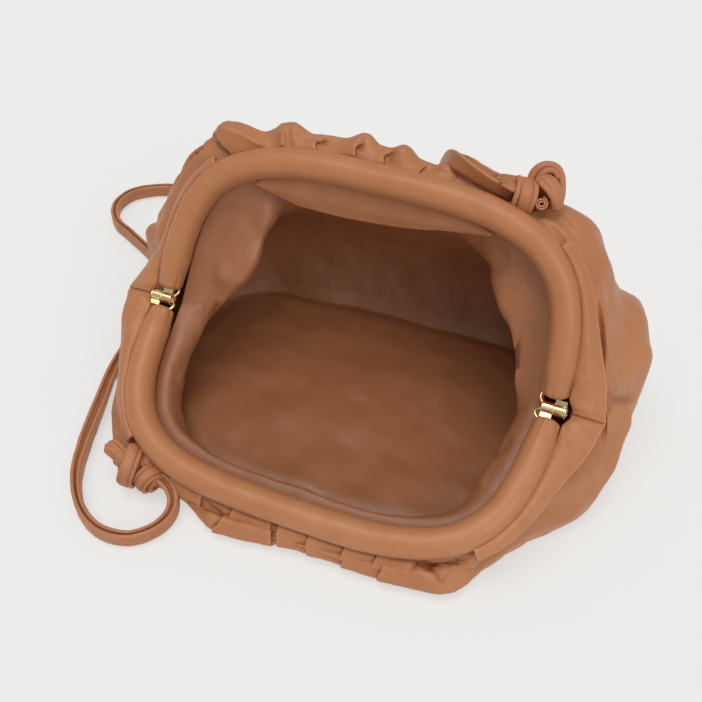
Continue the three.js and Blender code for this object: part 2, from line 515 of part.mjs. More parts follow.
// ---- the assembly -------------------------------------------------------
const leather = new THREE.MeshStandardMaterial({ color: 0xb9825c, roughness: 0.48, metalness: 0 });
const inside = new THREE.MeshStandardMaterial({ color: 0x9a6a48, roughness: 0.6, metalness: 0 });
const brass = new THREE.MeshStandardMaterial({ color: 0xd9b878, roughness: 0.22, metalness: 1 });

const bag = new THREE.Group();
const add = (name, geometry, material) => {
  const mesh = new THREE.Mesh(geometry, material);
  mesh.name = name;
  bag.add(mesh);
};
add('body', loft(bodySection, 80, 13, WALL, 0, 1, true), leather);
add('lining', loft(liningSection, 60, 9, -LINING_WALL, WALL + GAP + LINING_WALL, 1, false), inside);
add('frame_front', tube(true), leather);
add('frame_back', tube(false), leather);
add('tab_front_right', tab(true, true), leather);
add('tab_front_left', tab(true, false), leather);
add('tab_back_right', tab(false, true), leather);
add('tab_back_left', tab(false, false), leather);
add('facing_back', facing(), inside);
for (const [side, x] of [['right', HINGE_HALF + 0.6], ['left', -HINGE_HALF - 2.4]]) {
  const total = 2 * KNUCKLE_L + GAP, x0 = x - total / 2;
  add(`hinge_${side}_front`, knuckle(true, x0), brass);
  add(`hinge_${side}_back`, knuckle(false, x0 + KNUCKLE_L + GAP), brass);
  add(`hinge_${side}_pin`, pin(x0, x0 + total), brass);
}
add('knot_front_left', knot(KNOT_FRONT), leather);
add('knot_back_right', knot(KNOT_BACK), leather);
add('strap', strap(), leather);
bag.position.set(-ORIGIN[0], -ORIGIN[1], 0);

export default bag;
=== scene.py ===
"""Looks of the slouchy leather crossbody bag, lying open on its flattened bottom.

Shapes are worked out in millimetres from the middle of the hinge axis (X along it, Y towards the
raised half, Z above the floor) and moved into the row frame, in metres, by to_row().
"""

import math

import bpy
import numpy as np
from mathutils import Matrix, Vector


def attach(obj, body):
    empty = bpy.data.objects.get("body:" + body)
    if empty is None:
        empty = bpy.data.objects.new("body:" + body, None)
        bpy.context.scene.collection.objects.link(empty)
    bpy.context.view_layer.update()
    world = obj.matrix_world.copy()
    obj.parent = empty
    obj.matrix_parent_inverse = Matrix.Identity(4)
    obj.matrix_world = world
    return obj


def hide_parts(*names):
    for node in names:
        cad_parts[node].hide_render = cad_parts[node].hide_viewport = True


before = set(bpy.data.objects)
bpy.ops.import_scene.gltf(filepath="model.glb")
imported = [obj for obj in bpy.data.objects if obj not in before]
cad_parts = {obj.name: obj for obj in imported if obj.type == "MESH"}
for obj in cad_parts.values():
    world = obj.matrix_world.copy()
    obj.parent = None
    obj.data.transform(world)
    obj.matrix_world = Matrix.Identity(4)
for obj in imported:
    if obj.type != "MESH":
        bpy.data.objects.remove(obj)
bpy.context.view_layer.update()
ORIGIN = np.array([2.05, 11.66, 0.0])


def to_row(p):
    return (np.asarray(p, float) - ORIGIN) / 1000.0


# ---------------------------------------------------------------- camera
def make_camera():
    data = bpy.data.cameras.new("camera")
    data.sensor_width = 36.0
    data.lens = 49.364
    cam = bpy.data.objects.new("camera", data)
    bpy.context.scene.collection.objects.link(cam)
    az, el = math.radians(22.21), math.radians(45.0)
    back = Vector((math.sin(az) * math.cos(el), -math.cos(az) * math.cos(el), math.sin(el)))
    cam.location = (0.11813, -0.30346, 0.36810)
    cam.rotation_mode = "QUATERNION"
    cam.rotation_quaternion = (-back).to_track_quat("-Z", "Y")
    data.clip_start, data.clip_end = 0.01, 20
    bpy.context.scene.camera = cam
    return cam


make_camera()
_az, _el = math.radians(22.21), math.radians(45.0)
TO_EYE = np.array([math.sin(_az) * math.cos(_el), -math.cos(_az) * math.cos(_el), math.sin(_el)])
EYE_RIGHT = np.array([math.cos(_az), math.sin(_az), 0.0])
EYE_UP = np.cross(TO_EYE, EYE_RIGHT)

# ---------------------------------------------------------------- small maths
HINGE_HALF, HINGE_Z, REACH, SQUARENESS, WAIST = 96.0, 53.0, 79.2, 3.35, 0.014
FRONT_TILT, BACK_TILT = math.radians(-24.8), math.radians(57.7)
TUBE_R, TUBE_R_END, TUBE_CUT = 7.0, 5.6, 5.2
WALL, LINING_WALL, GAP = 2.0, 1.2, 0.3


def smooth(a, b, x):
    k = np.clip((np.asarray(x, float) - a) / (b - a), 0, 1)
    return k * k * (3 - 2 * k)


def unit(v):
    v = np.asarray(v, float)
    return v / np.maximum(np.linalg.norm(v, axis=-1, keepdims=True), 1e-12)


def table(names, data):
    return [dict(zip(names, row)) for row in data]


def column(rows, key, col, period=0.0):
    """Cubic interpolation of one column of a table whose rows are at x = key."""
    xs, ys = np.array([r[key] for r in rows], float), np.array([r[col] for r in rows], float)
    if period:
        xs = np.concatenate([xs[-2:] - period, xs, xs[:3] + period])
        ys = np.concatenate([ys[-2:], ys, ys[:3]])
    slope = np.empty(len(xs))
    slope[1:-1] = (ys[2:] - ys[:-2]) / (xs[2:] - xs[:-2])
    slope[0], slope[-1] = (ys[1] - ys[0]) / (xs[1] - xs[0]), (ys[-1] - ys[-2]) / (xs[-1] - xs[-2])
    first = rows[0][key]

    def at(x):
        x = np.asarray(x, float)
        x = x - np.floor((x - first) / period) * period if period else np.clip(x, xs[0], xs[-1])
        i = np.clip(np.searchsorted(xs, x, "right") - 1, 0, len(xs) - 2)
        h = xs[i + 1] - xs[i]
        k = (x - xs[i]) / h
        return ((2 * k**3 - 3 * k * k + 1) * ys[i] + (k**3 - 2 * k * k + k) * slope[i] * h
                + (-2 * k**3 + 3 * k * k) * ys[i + 1] + (k**3 - k * k) * slope[i + 1] * h)
    return at


def catmull(ctrl, ts):
    """Centripetal spline through ctrl (points, ..., 3) at each of ts (0..1)."""
    m, out = len(ctrl), []
    for t in ts:
        x = (m - 1) * t
        i = min(int(math.floor(x)), m - 2)
        w = x - i
        p1, p2 = ctrl[i], ctrl[i + 1]
        p0 = ctrl[i - 1] if i > 0 else 2 * ctrl[0] - ctrl[1]
        p3 = ctrl[i + 2] if i + 2 < m else 2 * ctrl[-1] - ctrl[-2]
        d0, d1, d2 = [np.linalg.norm(b - a, axis=-1, keepdims=True) ** 0.5 for a, b in ((p0, p1), (p1, p2), (p2, p3))]
        d1 = np.where(d1 < 1e-4, 1.0, d1)
        d0, d2 = np.where(d0 < 1e-4, d1, d0), np.where(d2 < 1e-4, d1, d2)
        t1 = ((p1 - p0) / d0 - (p2 - p0) / (d0 + d1) + (p2 - p1) / d1) * d1
        t2 = ((p2 - p1) / d1 - (p3 - p1) / (d1 + d2) + (p3 - p2) / d2) * d1
        out.append(p1 + t1 * w + (-3 * p1 + 3 * p2 - 2 * t1 - t2) * w * w + (2 * p1 - 2 * p2 + t1 + t2) * w**3)
    return np.array(out)


def waves(p, size, seed, octaves=3):
    """Smooth repeatable unevenness at points p (mm), roughly -1..1, with bumps about size across."""
    total, weight = 0.0, 0.0
    for o in range(octaves):
        rng = np.random.default_rng(seed + 17 * o)
        k = rng.normal(size=(5, 3))
        k = k / np.linalg.norm(k, axis=1)[:, None] * (2 * math.pi / (size / 1.7**o))
        phase = rng.uniform(0, 2 * math.pi, 5)
        total = total + np.sin(p @ k.T + phase).sum(-1) / 2.2 * 0.6**o
        weight += 0.6**o
    return total / weight


def to_line(p, line):
    """Distance of points p (..., 3) from a polyline, and how far along it (0..1) the nearest point is."""
    line = np.asarray(line, float)
    best, where = np.full(p.shape[:-1], 1e9), np.zeros(p.shape[:-1])
    n = len(line) - 1
    for i in range(n):
        a, d = line[i], line[i + 1] - line[i]
        k = np.clip(((p - a) @ d) / max(d @ d, 1e-9), 0, 1)
        dist = np.linalg.norm(p - a - k[..., None] * d, axis=-1)
        near = dist < best
        best = np.where(near, dist, best)
        where = np.where(near, (i + k) / n, where)
    return best, where


# ---------------------------------------------------------------- the mouth
_a = np.linspace(0, math.pi, 1201)
_h = REACH * np.sin(_a).clip(0) ** (2 / SQUARENESS)
_s = np.sign(np.cos(_a)) * HINGE_HALF * np.abs(np.cos(_a)) ** (2 / SQUARENESS) * (1 - WAIST * np.sin(math.pi * _h / REACH))
_len = np.concatenate([[0], np.cumsum(np.hypot(np.diff(_s), np.diff(_h)))])
HALF_LENGTH = _len[-1]
ROUND = 2 * HALF_LENGTH          # once round the mouth, mm


def u_at(t):
    want = np.clip(t, 0, 1) * HALF_LENGTH
    return np.interp(want, _len, _s), np.interp(want, _len, _h)


def mouth(u, soften=0.0):
    """Tube centre, direction out of the mouth and direction down into the bag, at u (0 right hinge, 0.25 front
    middle, 0.5 left hinge, 0.75 back middle)."""
    u = np.asarray(u, float)
    u = u - np.floor(u)
    front = u < 0.5
    t = np.where(front, u * 2, 2 - u * 2)
    tilt, side = np.where(front, FRONT_TILT, BACK_TILT), np.where(front, -1.0, 1.0)
    s, h = u_at(t)
    p = np.stack([s, side * h * np.cos(tilt), HINGE_Z + h * np.sin(tilt)], -1)
    e = 0.004
    (sa, ha), (sb, hb) = u_at(t - e), u_at(t + e)
    along = np.hypot(sb - sa, hb - ha)
    ns, nh = (hb - ha) / along, -(sb - sa) / along
    near = np.minimum(t, 1 - t)
    k = smooth(0, 0.05, near)
    ns, nh = ns * k + np.where(ns < 0, -1.0, 1.0) * (1 - k), nh * k
    out = unit(np.stack([ns, side * nh * np.cos(tilt), nh * np.sin(tilt)], -1))
    half = np.stack([np.zeros_like(t), np.where(front, -1.0, 1.0) * np.sin(tilt), -np.cos(tilt)], -1)
    mid = unit(np.array([0, (-math.sin(FRONT_TILT) + math.sin(BACK_TILT)) / 2, -(math.cos(FRONT_TILT) + math.cos(BACK_TILT)) / 2]))
    share = 0.5 + 0.5 * smooth(0, 0.1, near)[..., None]
    if soften:
        share = share * smooth(0, soften, near)[..., None]
    down = unit(half * share + mid * (1 - share))
    return p, out, down, t


def from_tube(u, out, down, soften=0.0):
    p, o, d, _ = mouth(u, soften)
    return p + o * np.asarray(out, float)[..., None] + d * np.asarray(down, float)[..., None]


# ---------------------------------------------------------------- section tables
BODY = table(
    ["u", "crownOut", "crownDown", "shX", "shY", "shZ", "beX", "beY", "beZ", "ftX", "ftY", "dip"], [
        [0.000, 17, 11, 122, 3, 33, 127, 2, 18, 122, 3, 0],
        [0.045, 14, 10, 113, -18, 26, 118, -20, 13, 114, -18, 0],
        [0.085, 11, 9.5, 98, -37.5, 19, 101, -38.7, 10, 98, -37, 0],
        [0.125, 10, 8, 83, -57, 14, 87.5, -58.5, 7.5, 84, -56.7, 0],
        [0.160, 10.5, 6.5, 67, -73, 11, 74, -76, 6, 72, -73, 0],
        [0.200, 10.5, 5.8, 34, -77, 10, 36, -79, 5.5, 36, -76, 0],
        [0.250, 10.5, 5.8, 0, -78, 9.5, 0, -80, 5.5, 0, -77, 0],
        [0.300, 11, 6, -31, -81, 10, -32, -84, 5.5, -31, -81, 0],
        [0.332, 10, 6.5, -51, -74, 10, -53, -75, 6, -52, -73, 0],
        [0.375, 9.5, 9, -82, -66, 15, -87, -69, 8, -83, -66, 0],
        [0.415, 11, 9.5, -101, -48, 20, -106, -49, 10, -102, -47, 0],
        [0.455, 14, 10, -111, -24, 27, -116, -25, 13, -112, -23, 0],
        [0.500, 17, 11, -117, 6, 36, -124, 4, 22, -118, 5, 0],
        [0.528, 14, 11, -113, 13, 53, -121, 16, 44, -117, 19, 0],
        [0.543, 12, 11, -111, 20, 60, -119, 26, 51, -117, 28, 0],
        [0.557, 14, 12, -116, 28, 68, -128, 35, 60, -120, 38, 0.4],
        [0.588, 16, 12, -118, 43, 75, -126, 60, 50, -115, 58, 0],
        [0.620, 18, 9, -107, 48, 93, -113, 78, 50, -102, 74, -0.2],
        [0.640, 18, 8, -96, 53, 103, -103, 90, 52, -94, 80, -0.3],
        [0.662, 14, 11, -80, 62, 104, -88, 98, 52, -80, 83, -0.3],
        [0.690, 14, 11, -54, 72, 104, -56, 104, 52, -52, 86, -0.3],
        [0.750, 14, 11, 0, 76, 102, 0, 108, 50, 0, 88, -0.3],
        [0.790, 10, 12, 36, 74, 101, 38, 106, 52, 38, 89, -0.3],
        [0.840, 11, 12, 72, 76, 103, 79, 98, 54, 78, 88, -0.1],
        [0.868, 16, 11, 91, 68, 104, 99, 86, 55, 98, 83, 0],
        [0.880, 16, 11, 97, 60, 100, 105, 79, 57, 104, 79, 0.1],
        [0.893, 14, 11.5, 101, 53, 97, 118, 79, 58, 113, 75, 0.3],
        [0.915, 12, 12, 105, 41, 87, 125, 60, 60, 121, 62, 0.35],
        [0.938, 12, 12, 111, 27, 75, 129.5, 43, 57, 127, 47, 0.25],
        [0.952, 13, 11.5, 114, 20, 65, 129.5, 35, 48, 127, 39, 0.1],
        [0.966, 16, 11, 117, 12, 56, 129.5, 27, 39, 128, 31, 0],
    ])
LINING = table(
    ["u", "tuckOut", "tuckDown", "loX", "loY", "loZ", "waX", "waY", "waZ", "ftX", "ftY"], [
        [0.000, -11, 8, 80, 4, 36, 108, 3, 18, 104, 3],
        [0.045, -12, 7, 77, -14, 30, 98, -14, 13, 94, -14],
        [0.090, -12, 7, 72, -33, 20, 84, -34, 11, 80, -32],
        [0.130, -12, 6.5, 62, -46, 13, 68, -49, 9, 62, -44],
        [0.190, -12, 6, 36, -54, 11, 40, -56, 8, 36, -50],
        [0.250, -12, 6, 0, -55, 10.5, 0, -57, 8, 0, -51],
        [0.310, -12, 6, -36, -54, 11, -40, -56, 8, -36, -50],
        [0.370, -12, 6.5, -62, -46, 13, -68, -49, 9, -62, -44],
        [0.410, -12, 7, -74, -32, 20, -86, -34, 12, -80, -32],
        [0.455, -12, 7, -79, -14, 30, -99, -13, 17, -94, -14],
        [0.500, -13, 8, -76, 5, 40, -108, 6, 24, -100, 6],
        [0.545, -15, 9, -68, 15, 53, -113, 28, 34, -101, 28],
        [0.585, -15, 9, -60, 27, 68, -112, 50, 38, -99, 50],
        [0.620, -12, 9, -57, 38, 84, -103, 66, 42, -92, 66],
        [0.655, -8, 9, -48, 51, 88, -83, 80, 42, -75, 74],
        [0.700, -6, 9, -30, 58, 90, -44, 90, 42, -41, 78],
        [0.750, -6, 9, 0, 60, 90, 0, 94, 40, 0, 80],
        [0.800, -6, 9, 30, 58, 90, 42, 92, 42, 40, 80],
        [0.845, -8, 9, 46, 50, 86, 73, 86, 44, 70, 79],
        [0.880, -12, 9, 56, 36, 80, 99, 72, 46, 90, 70],
        [0.915, -14, 9, 68, 25, 68, 113, 50, 42, 104, 52],
        [0.955, -13, 9, 75, 14, 52, 115, 28, 28, 108, 28],
    ])
TAB_END = 0.23
TAB = table(["t", "reach", "slim"], [[0, 23, 23], [0.045, 20.5, 15.5], [0.09, 16, 10.8], [0.14, 12.8, 10.4], [0.23, 11.2, 10.8]])
FACING = table(["u", "drop"], [[0.642, 2], [0.66, 8], [0.68, 13], [0.71, 15], [0.74, 14.5], [0.77, 12.5], [0.80, 8.5], [0.825, 4.5], [0.84, 1]])

body_col = {k: column(BODY, "u", k, 1.0) for k in BODY[0]}
lining_col = {k: column(LINING, "u", k, 1.0) for k in LINING[0]}
tab_reach, tab_slim, facing_drop = column(TAB, "t", "reach"), column(TAB, "t", "slim"), column(FACING, "u", "drop")


def tab_zone(u):
    t = mouth(u)[3]
    return 1 - smooth(TAB_END - 0.055, TAB_END - 0.015, np.minimum(t, 1 - t))


def body_ctrl(u, soften=0.03):
    c = {k: body_col[k](u) for k in body_col}
    z = tab_zone(u)
    foot = np.stack([c["ftX"], c["ftY"], np.zeros_like(u)], -1)
    belly = np.stack([c["beX"], c["beY"], c["beZ"]], -1)
    sh = np.stack([c["shX"], c["shY"], c["shZ"]], -1)
    drop = belly - sh
    between = (sh + belly) / 2 + drop * c["dip"][:, None] * np.array([-0.25, -0.25, 0.3])
    low = foot * 0.55 + belly * 0.45
    low[:, 2] = belly[:, 2] * 0.22
    return np.array([from_tube(u, 4.6 + 3.4 * z, 6.6 + 2.2 * z, soften),
                     from_tube(u, c["crownOut"] * 0.75, c["crownDown"] * 0.93 + 0.6 * z, soften),
                     from_tube(u, c["crownOut"], c["crownDown"] + 2, soften), sh, between, belly, low, foot])


def lining_ctrl(u, soften=0.03):
    c = {k: lining_col[k](u) for k in lining_col}
    floor = WALL + GAP + LINING_WALL
    foot = np.stack([c["ftX"], c["ftY"], np.full_like(u, floor)], -1)
    wall = np.stack([c["waX"], c["waY"], c["waZ"]], -1)
    low = foot * 0.6 + wall * 0.4
    low[:, 2] = floor + (wall[:, 2] - floor) * 0.2
    return np.array([from_tube(u, np.full_like(u, -5.2), np.full_like(u, 5.9), soften), from_tube(u, c["tuckOut"], c["tuckDown"], soften),
                     np.stack([c["loX"], c["loY"], c["loZ"]], -1), wall, low, foot])


# ---------------------------------------------------------------- materials
def nodes_of(name):
    mat = bpy.data.materials.new(name)
    mat.use_nodes = True
    nt = mat.node_tree
    return mat, nt, nt.nodes["Principled BSDF"]


def noise(nt, coord, scale, detail=4.0, rough=0.55, distort=0.0):
    n = nt.nodes.new("ShaderNodeTexNoise")
    n.inputs["Scale"].default_value = scale
    n.inputs["Detail"].default_value = detail
    n.inputs["Roughness"].default_value = rough
    n.inputs["Distortion"].default_value = distort
    nt.links.new(coord, n.inputs["Vector"])
    return n.outputs["Fac"]


def maths(nt, op, a, b=None, clamp=False):
    n = nt.nodes.new("ShaderNodeMath")
    n.operation, n.use_clamp = op, clamp
    for i, v in enumerate((a, b)):
        if v is None:
            continue
        if isinstance(v, (int, float)):
            n.inputs[i].default_value = v
        else:
            nt.links.new(v, n.inputs[i])
    return n.outputs[0]


def spread(nt, v, a, b, c=0.0, d=1.0):
    n = nt.nodes.new("ShaderNodeMapRange")
    n.inputs["From Min"].default_value, n.inputs["From Max"].default_value = a, b
    n.inputs["To Min"].default_value, n.inputs["To Max"].default_value = c, d
    nt.links.new(v, n.inputs["Value"])
    return n.outputs["Result"]


def blend(nt, fac, a, b, kind="MIX"):
    n = nt.nodes.new("ShaderNodeMix")
    n.data_type, n.blend_type = "RGBA", kind
    for sock, v in ((n.inputs["Factor"], fac), (n.inputs[6], a), (n.inputs[7], b)):
        if isinstance(v, (int, float)):
            sock.default_value = v
        elif isinstance(v, tuple):
            sock.default_value = (*v, 1.0) if len(v) == 3 else v
        else:
            nt.links.new(v, sock)
    return n.outputs[2]


def attribute(nt, name):
    n = nt.nodes.new("ShaderNodeAttribute")
    n.attribute_name = name
    return n.outputs["Fac"]


def bumps(nt, heights):
    """Chains bump nodes: (height, strength, distance in metres)."""
    last = None
    for height, strength, distance in heights:
        b = nt.nodes.new("ShaderNodeBump")
        b.inputs["Strength"].default_value = strength
        b.inputs["Distance"].default_value = distance
        nt.links.new(height, b.inputs["Height"])
        if last is not None:
            nt.links.new(last, b.inputs["Normal"])
        last = b.outputs["Normal"]
    return last


def leather(name, base, light, dark, rough=0.46, grain=0.35, wear_and_highlight=0.5, sheen=0.02, specular=0.36):
    """Soft full-grain leather: cells and pores in the bump, slow colour drift, lighter cut and rubbed edges with
    painted highlights on pleat lips and ridges, and painted shade in creases, grooves and hollows.
    """
    mat, nt, bsdf = nodes_of(name)
    coord = nt.nodes.new("ShaderNodeTexCoord").outputs["Object"]
    slow = noise(nt, coord, 16, 3)
    middle = noise(nt, coord, 95, 5, 0.6)
    fine = noise(nt, coord, 900, 4, 0.6)
    colour = blend(nt, spread(nt, slow, 0.35, 0.68), base, light)
    colour = blend(nt, spread(nt, middle, 0.42, 0.75, 0.0, 0.5), colour, dark)
    colour = blend(nt, spread(nt, fine, 0.5, 0.8, 0.0, 0.28), colour, dark)
    # Lighter colour from a per-vertex attribute: real rubbed and cut edges, and painted highlights along pleat lips and
    # ridges.
    rub_and_highlight = maths(nt, "MULTIPLY", attribute(nt, "wear_and_highlight"), wear_and_highlight, True)
    colour = blend(nt, rub_and_highlight, colour, tuple(min(1.0, c * 1.5 + 0.02) for c in base))
    # Painted shade from a per-vertex attribute: darkens creases, pleat undersides, grooves, knot hollows and the
    # lining's lower part.
    painted_shade = maths(nt, "MULTIPLY", attribute(nt, "painted_shade"), 0.75, True)
    colour = blend(nt, painted_shade, colour, tuple(c * 0.42 for c in dark))
    nt.links.new(colour, bsdf.inputs["Base Color"])
    nt.links.new(spread(nt, maths(nt, "ADD", middle, fine), 0.6, 1.4, rough - 0.07, rough + 0.1), bsdf.inputs["Roughness"])
    cells = nt.nodes.new("ShaderNodeTexVoronoi")
    cells.feature = "DISTANCE_TO_EDGE"
    cells.inputs["Scale"].default_value = 1150
    warp = nt.nodes.new("ShaderNodeVectorMath")
    warp.operation = "MULTIPLY_ADD"
    small = nt.nodes.new("ShaderNodeTexNoise")
    small.inputs["Scale"].default_value = 700
    nt.links.new(coord, small.inputs["Vector"])
    nt.links.new(small.outputs["Color"], warp.inputs[0])
    warp.inputs[1].default_value = (0.0009, 0.0009, 0.0009)
    nt.links.new(coord, warp.inputs[2])
    nt.links.new(warp.outputs[0], cells.inputs["Vector"])
    cell = spread(nt, cells.outputs["Distance"], 0.0, 0.22)
    creased = noise(nt, coord, 210, 6, 0.62, 0.6)
    normal = bumps(nt, [(creased, grain * 0.55, 0.0006), (cell, grain * 0.5, 0.00012), (fine, grain * 0.5, 0.00012)])
    nt.links.new(normal, bsdf.inputs["Normal"])
    bsdf.inputs["Specular IOR Level"].default_value = specular
    bsdf.inputs["Sheen Weight"].default_value = sheen
    bsdf.inputs["Sheen Roughness"].default_value = 0.5
    bsdf.inputs["Sheen Tint"].default_value = (1.0, 0.82, 0.7, 1.0)
    return mat


def brass(name):
    mat, nt, bsdf = nodes_of(name)
    coord = nt.nodes.new("ShaderNodeTexCoord").outputs["Object"]
    drift, fine = noise(nt, coord, 160, 4), noise(nt, coord, 1800, 3)
    nt.links.new(blend(nt, spread(nt, drift, 0.4, 0.7), (0.93, 0.74, 0.43), (0.80, 0.58, 0.30)), bsdf.inputs["Base Color"])
    nt.links.new(spread(nt, fine, 0.3, 0.7, 0.16, 0.3), bsdf.inputs["Roughness"])
    nt.links.new(bumps(nt, [(fine, 0.12, 0.00008), (drift, 0.2, 0.0002)]), bsdf.inputs["Normal"])
    bsdf.inputs["Metallic"].default_value = 1.0
    return mat


OUTER = leather("outer_leather", (0.450, 0.178, 0.074), (0.490, 0.205, 0.090), (0.390, 0.145, 0.057), rough=0.41, grain=0.30)
TUBE = leather("tube_leather", (0.455, 0.181, 0.075), (0.495, 0.208, 0.092), (0.405, 0.153, 0.061), rough=0.37, grain=0.20)
# Painted shade: the inside is the same leather as the outside, given a darker base colour to stand in for the shade
# inside the bag.
INNER = leather("inner_leather", (0.350, 0.132, 0.053), (0.395, 0.156, 0.066), (0.285, 0.102, 0.040), rough=0.39, grain=0.36, specular=0.48)
STRAP_LEATHER = leather("strap_leather", (0.445, 0.172, 0.074), (0.490, 0.205, 0.094), (0.360, 0.130, 0.052), rough=0.44, grain=0.42, wear_and_highlight=0.45)
# Painted shade: the same leather turned in under the raised tube, given a slightly darker base colour for the shade
# there.
FACING_LEATHER = leather("facing_leather", (0.400, 0.156, 0.064), (0.440, 0.180, 0.078), (0.340, 0.126, 0.050), rough=0.44, grain=0.28)
BRASS = brass("gold_metal")


# ---------------------------------------------------------------- mesh making
def make(name, verts_mm, faces, material, stands_for=(), wear_and_highlight=None, painted_shade=None, flat=False):
    me = bpy.data.meshes.new(name)
    me.from_pydata(to_row(verts_mm).tolist(), [], faces)
    me.validate()
    me.polygons.foreach_set("use_smooth", [not flat] * len(me.polygons))
    # Colour marks for the material: lighter edges (real wear and painted highlights) and painted shade.
    for label, values in (("wear_and_highlight", wear_and_highlight), ("painted_shade", painted_shade)):
        a = me.attributes.new(label, "FLOAT", "POINT")
        if values is not None and len(values) == len(me.vertices):
            a.data.foreach_set("value", np.clip(values, 0, 1).astype(np.float32))
    me.materials.append(material)
    me.update()
    ob = bpy.data.objects.new(name, me)
    bpy.context.scene.collection.objects.link(ob)
    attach(ob, "root")
    if stands_for:
        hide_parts(*stands_for)
    return ob


def outward(verts, faces):
    """Turns the faces so that the closed mesh's volume is positive. Faces are triangles or quads."""
    v, vol = np.asarray(verts, float), 0.0
    c = v.mean(0)
    q = np.array([f if len(f) == 4 else (f[0], f[1], f[2], f[2]) for f in faces])
    a, b, d, e = [v[q[:, i]] - c for i in range(4)]
    vol = np.einsum("ij,ij->i", a, np.cross(b, d)).sum() + np.einsum("ij,ij->i", a, np.cross(d, e)).sum()
    return faces if vol > 0 else [tuple(reversed(f)) for f in faces]


def grid_faces(rows, cols, base=0, wrap=True):
    i, j = np.meshgrid(np.arange(rows - 1), np.arange(cols if wrap else cols - 1), indexing="ij")
    k = (j + 1) % cols
    return np.stack([base + i * cols + j, base + (i + 1) * cols + j, base + (i + 1) * cols + k, base + i * cols + k], -1).reshape(-1, 4).tolist()


def sweep(points, sections, close_ends=True):
    """Closed tube: sections (n, m, 3) are offsets from each of the n points."""
    n, m = sections.shape[:2]
    v = (points[:, None, :] + sections).reshape(-1, 3)
    faces = grid_faces(n, m)
    if close_ends:
        v = np.vstack([v, points[0] + sections[0].mean(0), points[-1] + sections[-1].mean(0)])
        for j in range(m):
            faces.append((j, (j + 1) % m, n * m))
            faces.append(((n - 1) * m + (j + 1) % m, (n - 1) * m + j, n * m + 1))
    return v, outward(v, faces)


def finish_normals(P):
    """Normals of a grid (rows, cols, 3) that closes round its columns."""
    dv = np.empty_like(P)
    dv[1:-1], dv[0], dv[-1] = P[2:] - P[:-2], P[1] - P[0], P[-1] - P[-2]
    du = np.roll(P, -1, 1) - np.roll(P, 1, 1)
    return unit(np.cross(du, dv)), unit(du)


# ---------------------------------------------------------------- outer leather
# Knife pleats: the edge of a fold that lies over its neighbour. u0 and u1: where it is at the tube and lower
# down (at v = 0.6 in front, 0.11 behind); bend: how much it curls further down behind; way: +1 if the edge looks
# towards growing u; rise: height of the lip; run: how far the folded panel takes to rise; over: how far the lip
# hangs over; v0, v1: where it starts to end.
EDGES = table(["u0", "u1", "bend", "way", "rise", "run", "over", "v0", "v1"], [
    [0.176, 0.187, 0, 1, 1.9, 13, 0.7, 0.62, 0.92],
    [0.200, 0.207, 0, 1, 1.9, 13, 0.7, 0.62, 0.92],
    [0.2285, 0.2305, 0, 1, 1.6, 13, 0.6, 0.62, 0.92],
    [0.2535, 0.252, 0, 1, 1.9, 10, 0.7, 0.62, 0.92],
    [0.2615, 0.2575, 0, -1, 2.2, 15, 0.8, 0.66, 0.92],
    [0.289, 0.297, 0, 1, 1.8, 10, 0.7, 0.66, 0.9],
    [0.3195, 0.317, 0, -1, 1.8, 9, 0.8, 0.3, 0.5],
    [0.345, 0.349, 0, 1, 1.4, 8, 0.6, 0.4, 0.8],
    [0.628, 0.6235, -0.003, -1, 2.4, 8, 1.5, 0.24, 0.36],
    [0.689, 0.685, 0.008, 1, 1.9, 9, 1.2, 0.11, 0.22],
    [0.7205, 0.7170, 0.007, 1, 2.1, 8, 1.2, 0.12, 0.23],
    [0.7425, 0.7395, 0.006, 1, 2.0, 7, 1.1, 0.12, 0.24],
    [0.769, 0.771, 0.004, 1, 1.4, 6, 0.8, 0.10, 0.24],
    [0.797, 0.799, 0, -1, 1.2, 6, 0.6, 0.10, 0.26],
    [0.826, 0.828, 0, -1, 1.2, 6, 0.6, 0.10, 0.26],
])


def edge_shift(front, v, straight, bend):
    """How far round an edge has moved at v."""
    return np.where(front, straight * np.minimum(v / 0.6, 1.2), straight * np.minimum(v / 0.11, 1) + bend * smooth(0.09, 0.24, v))


# Soft swells of the gathered leather. u, w: middle and half width; v, vw: middle and half length down; rise in mm.
SWELLS = table(["u", "w", "v", "vw", "rise"], [
    [0.626, 0.0175, 0.31, 0.31, 4.8], [0.667, 0.0165, 0.30, 0.29, 5.5], [0.6475, 0.010, 0.28, 0.22, -1.8], [0.603, 0.020, 0.34, 0.22, 1.8],
    [0.7225, 0.0135, 0.27, 0.27, 4.2], [0.7535, 0.0125, 0.25, 0.25, 3.2], [0.704, 0.010, 0.25, 0.2, -0.8],
    [0.789, 0.013, 0.25, 0.24, 3.0], [0.815, 0.012, 0.25, 0.22, 2.0], [0.845, 0.011, 0.25, 0.22, 1.2],
    [0.160, 0.014, 0.40, 0.40, 3.0], [0.303, 0.012, 0.50, 0.35, 1.6], [0.332, 0.012, 0.30, 0.30, 1.0],
    [0.360, 0.013, 0.40, 0.35, 1.8], [0.275, 0.012, 0.45, 0.35, 0.9],
    [0.225, 0.012, 0.40, 0.35, 0.6], [0.195, 0.012, 0.40, 0.35, 0.6], [0.242, 0.009, 0.40, 0.35, 0.6],
])
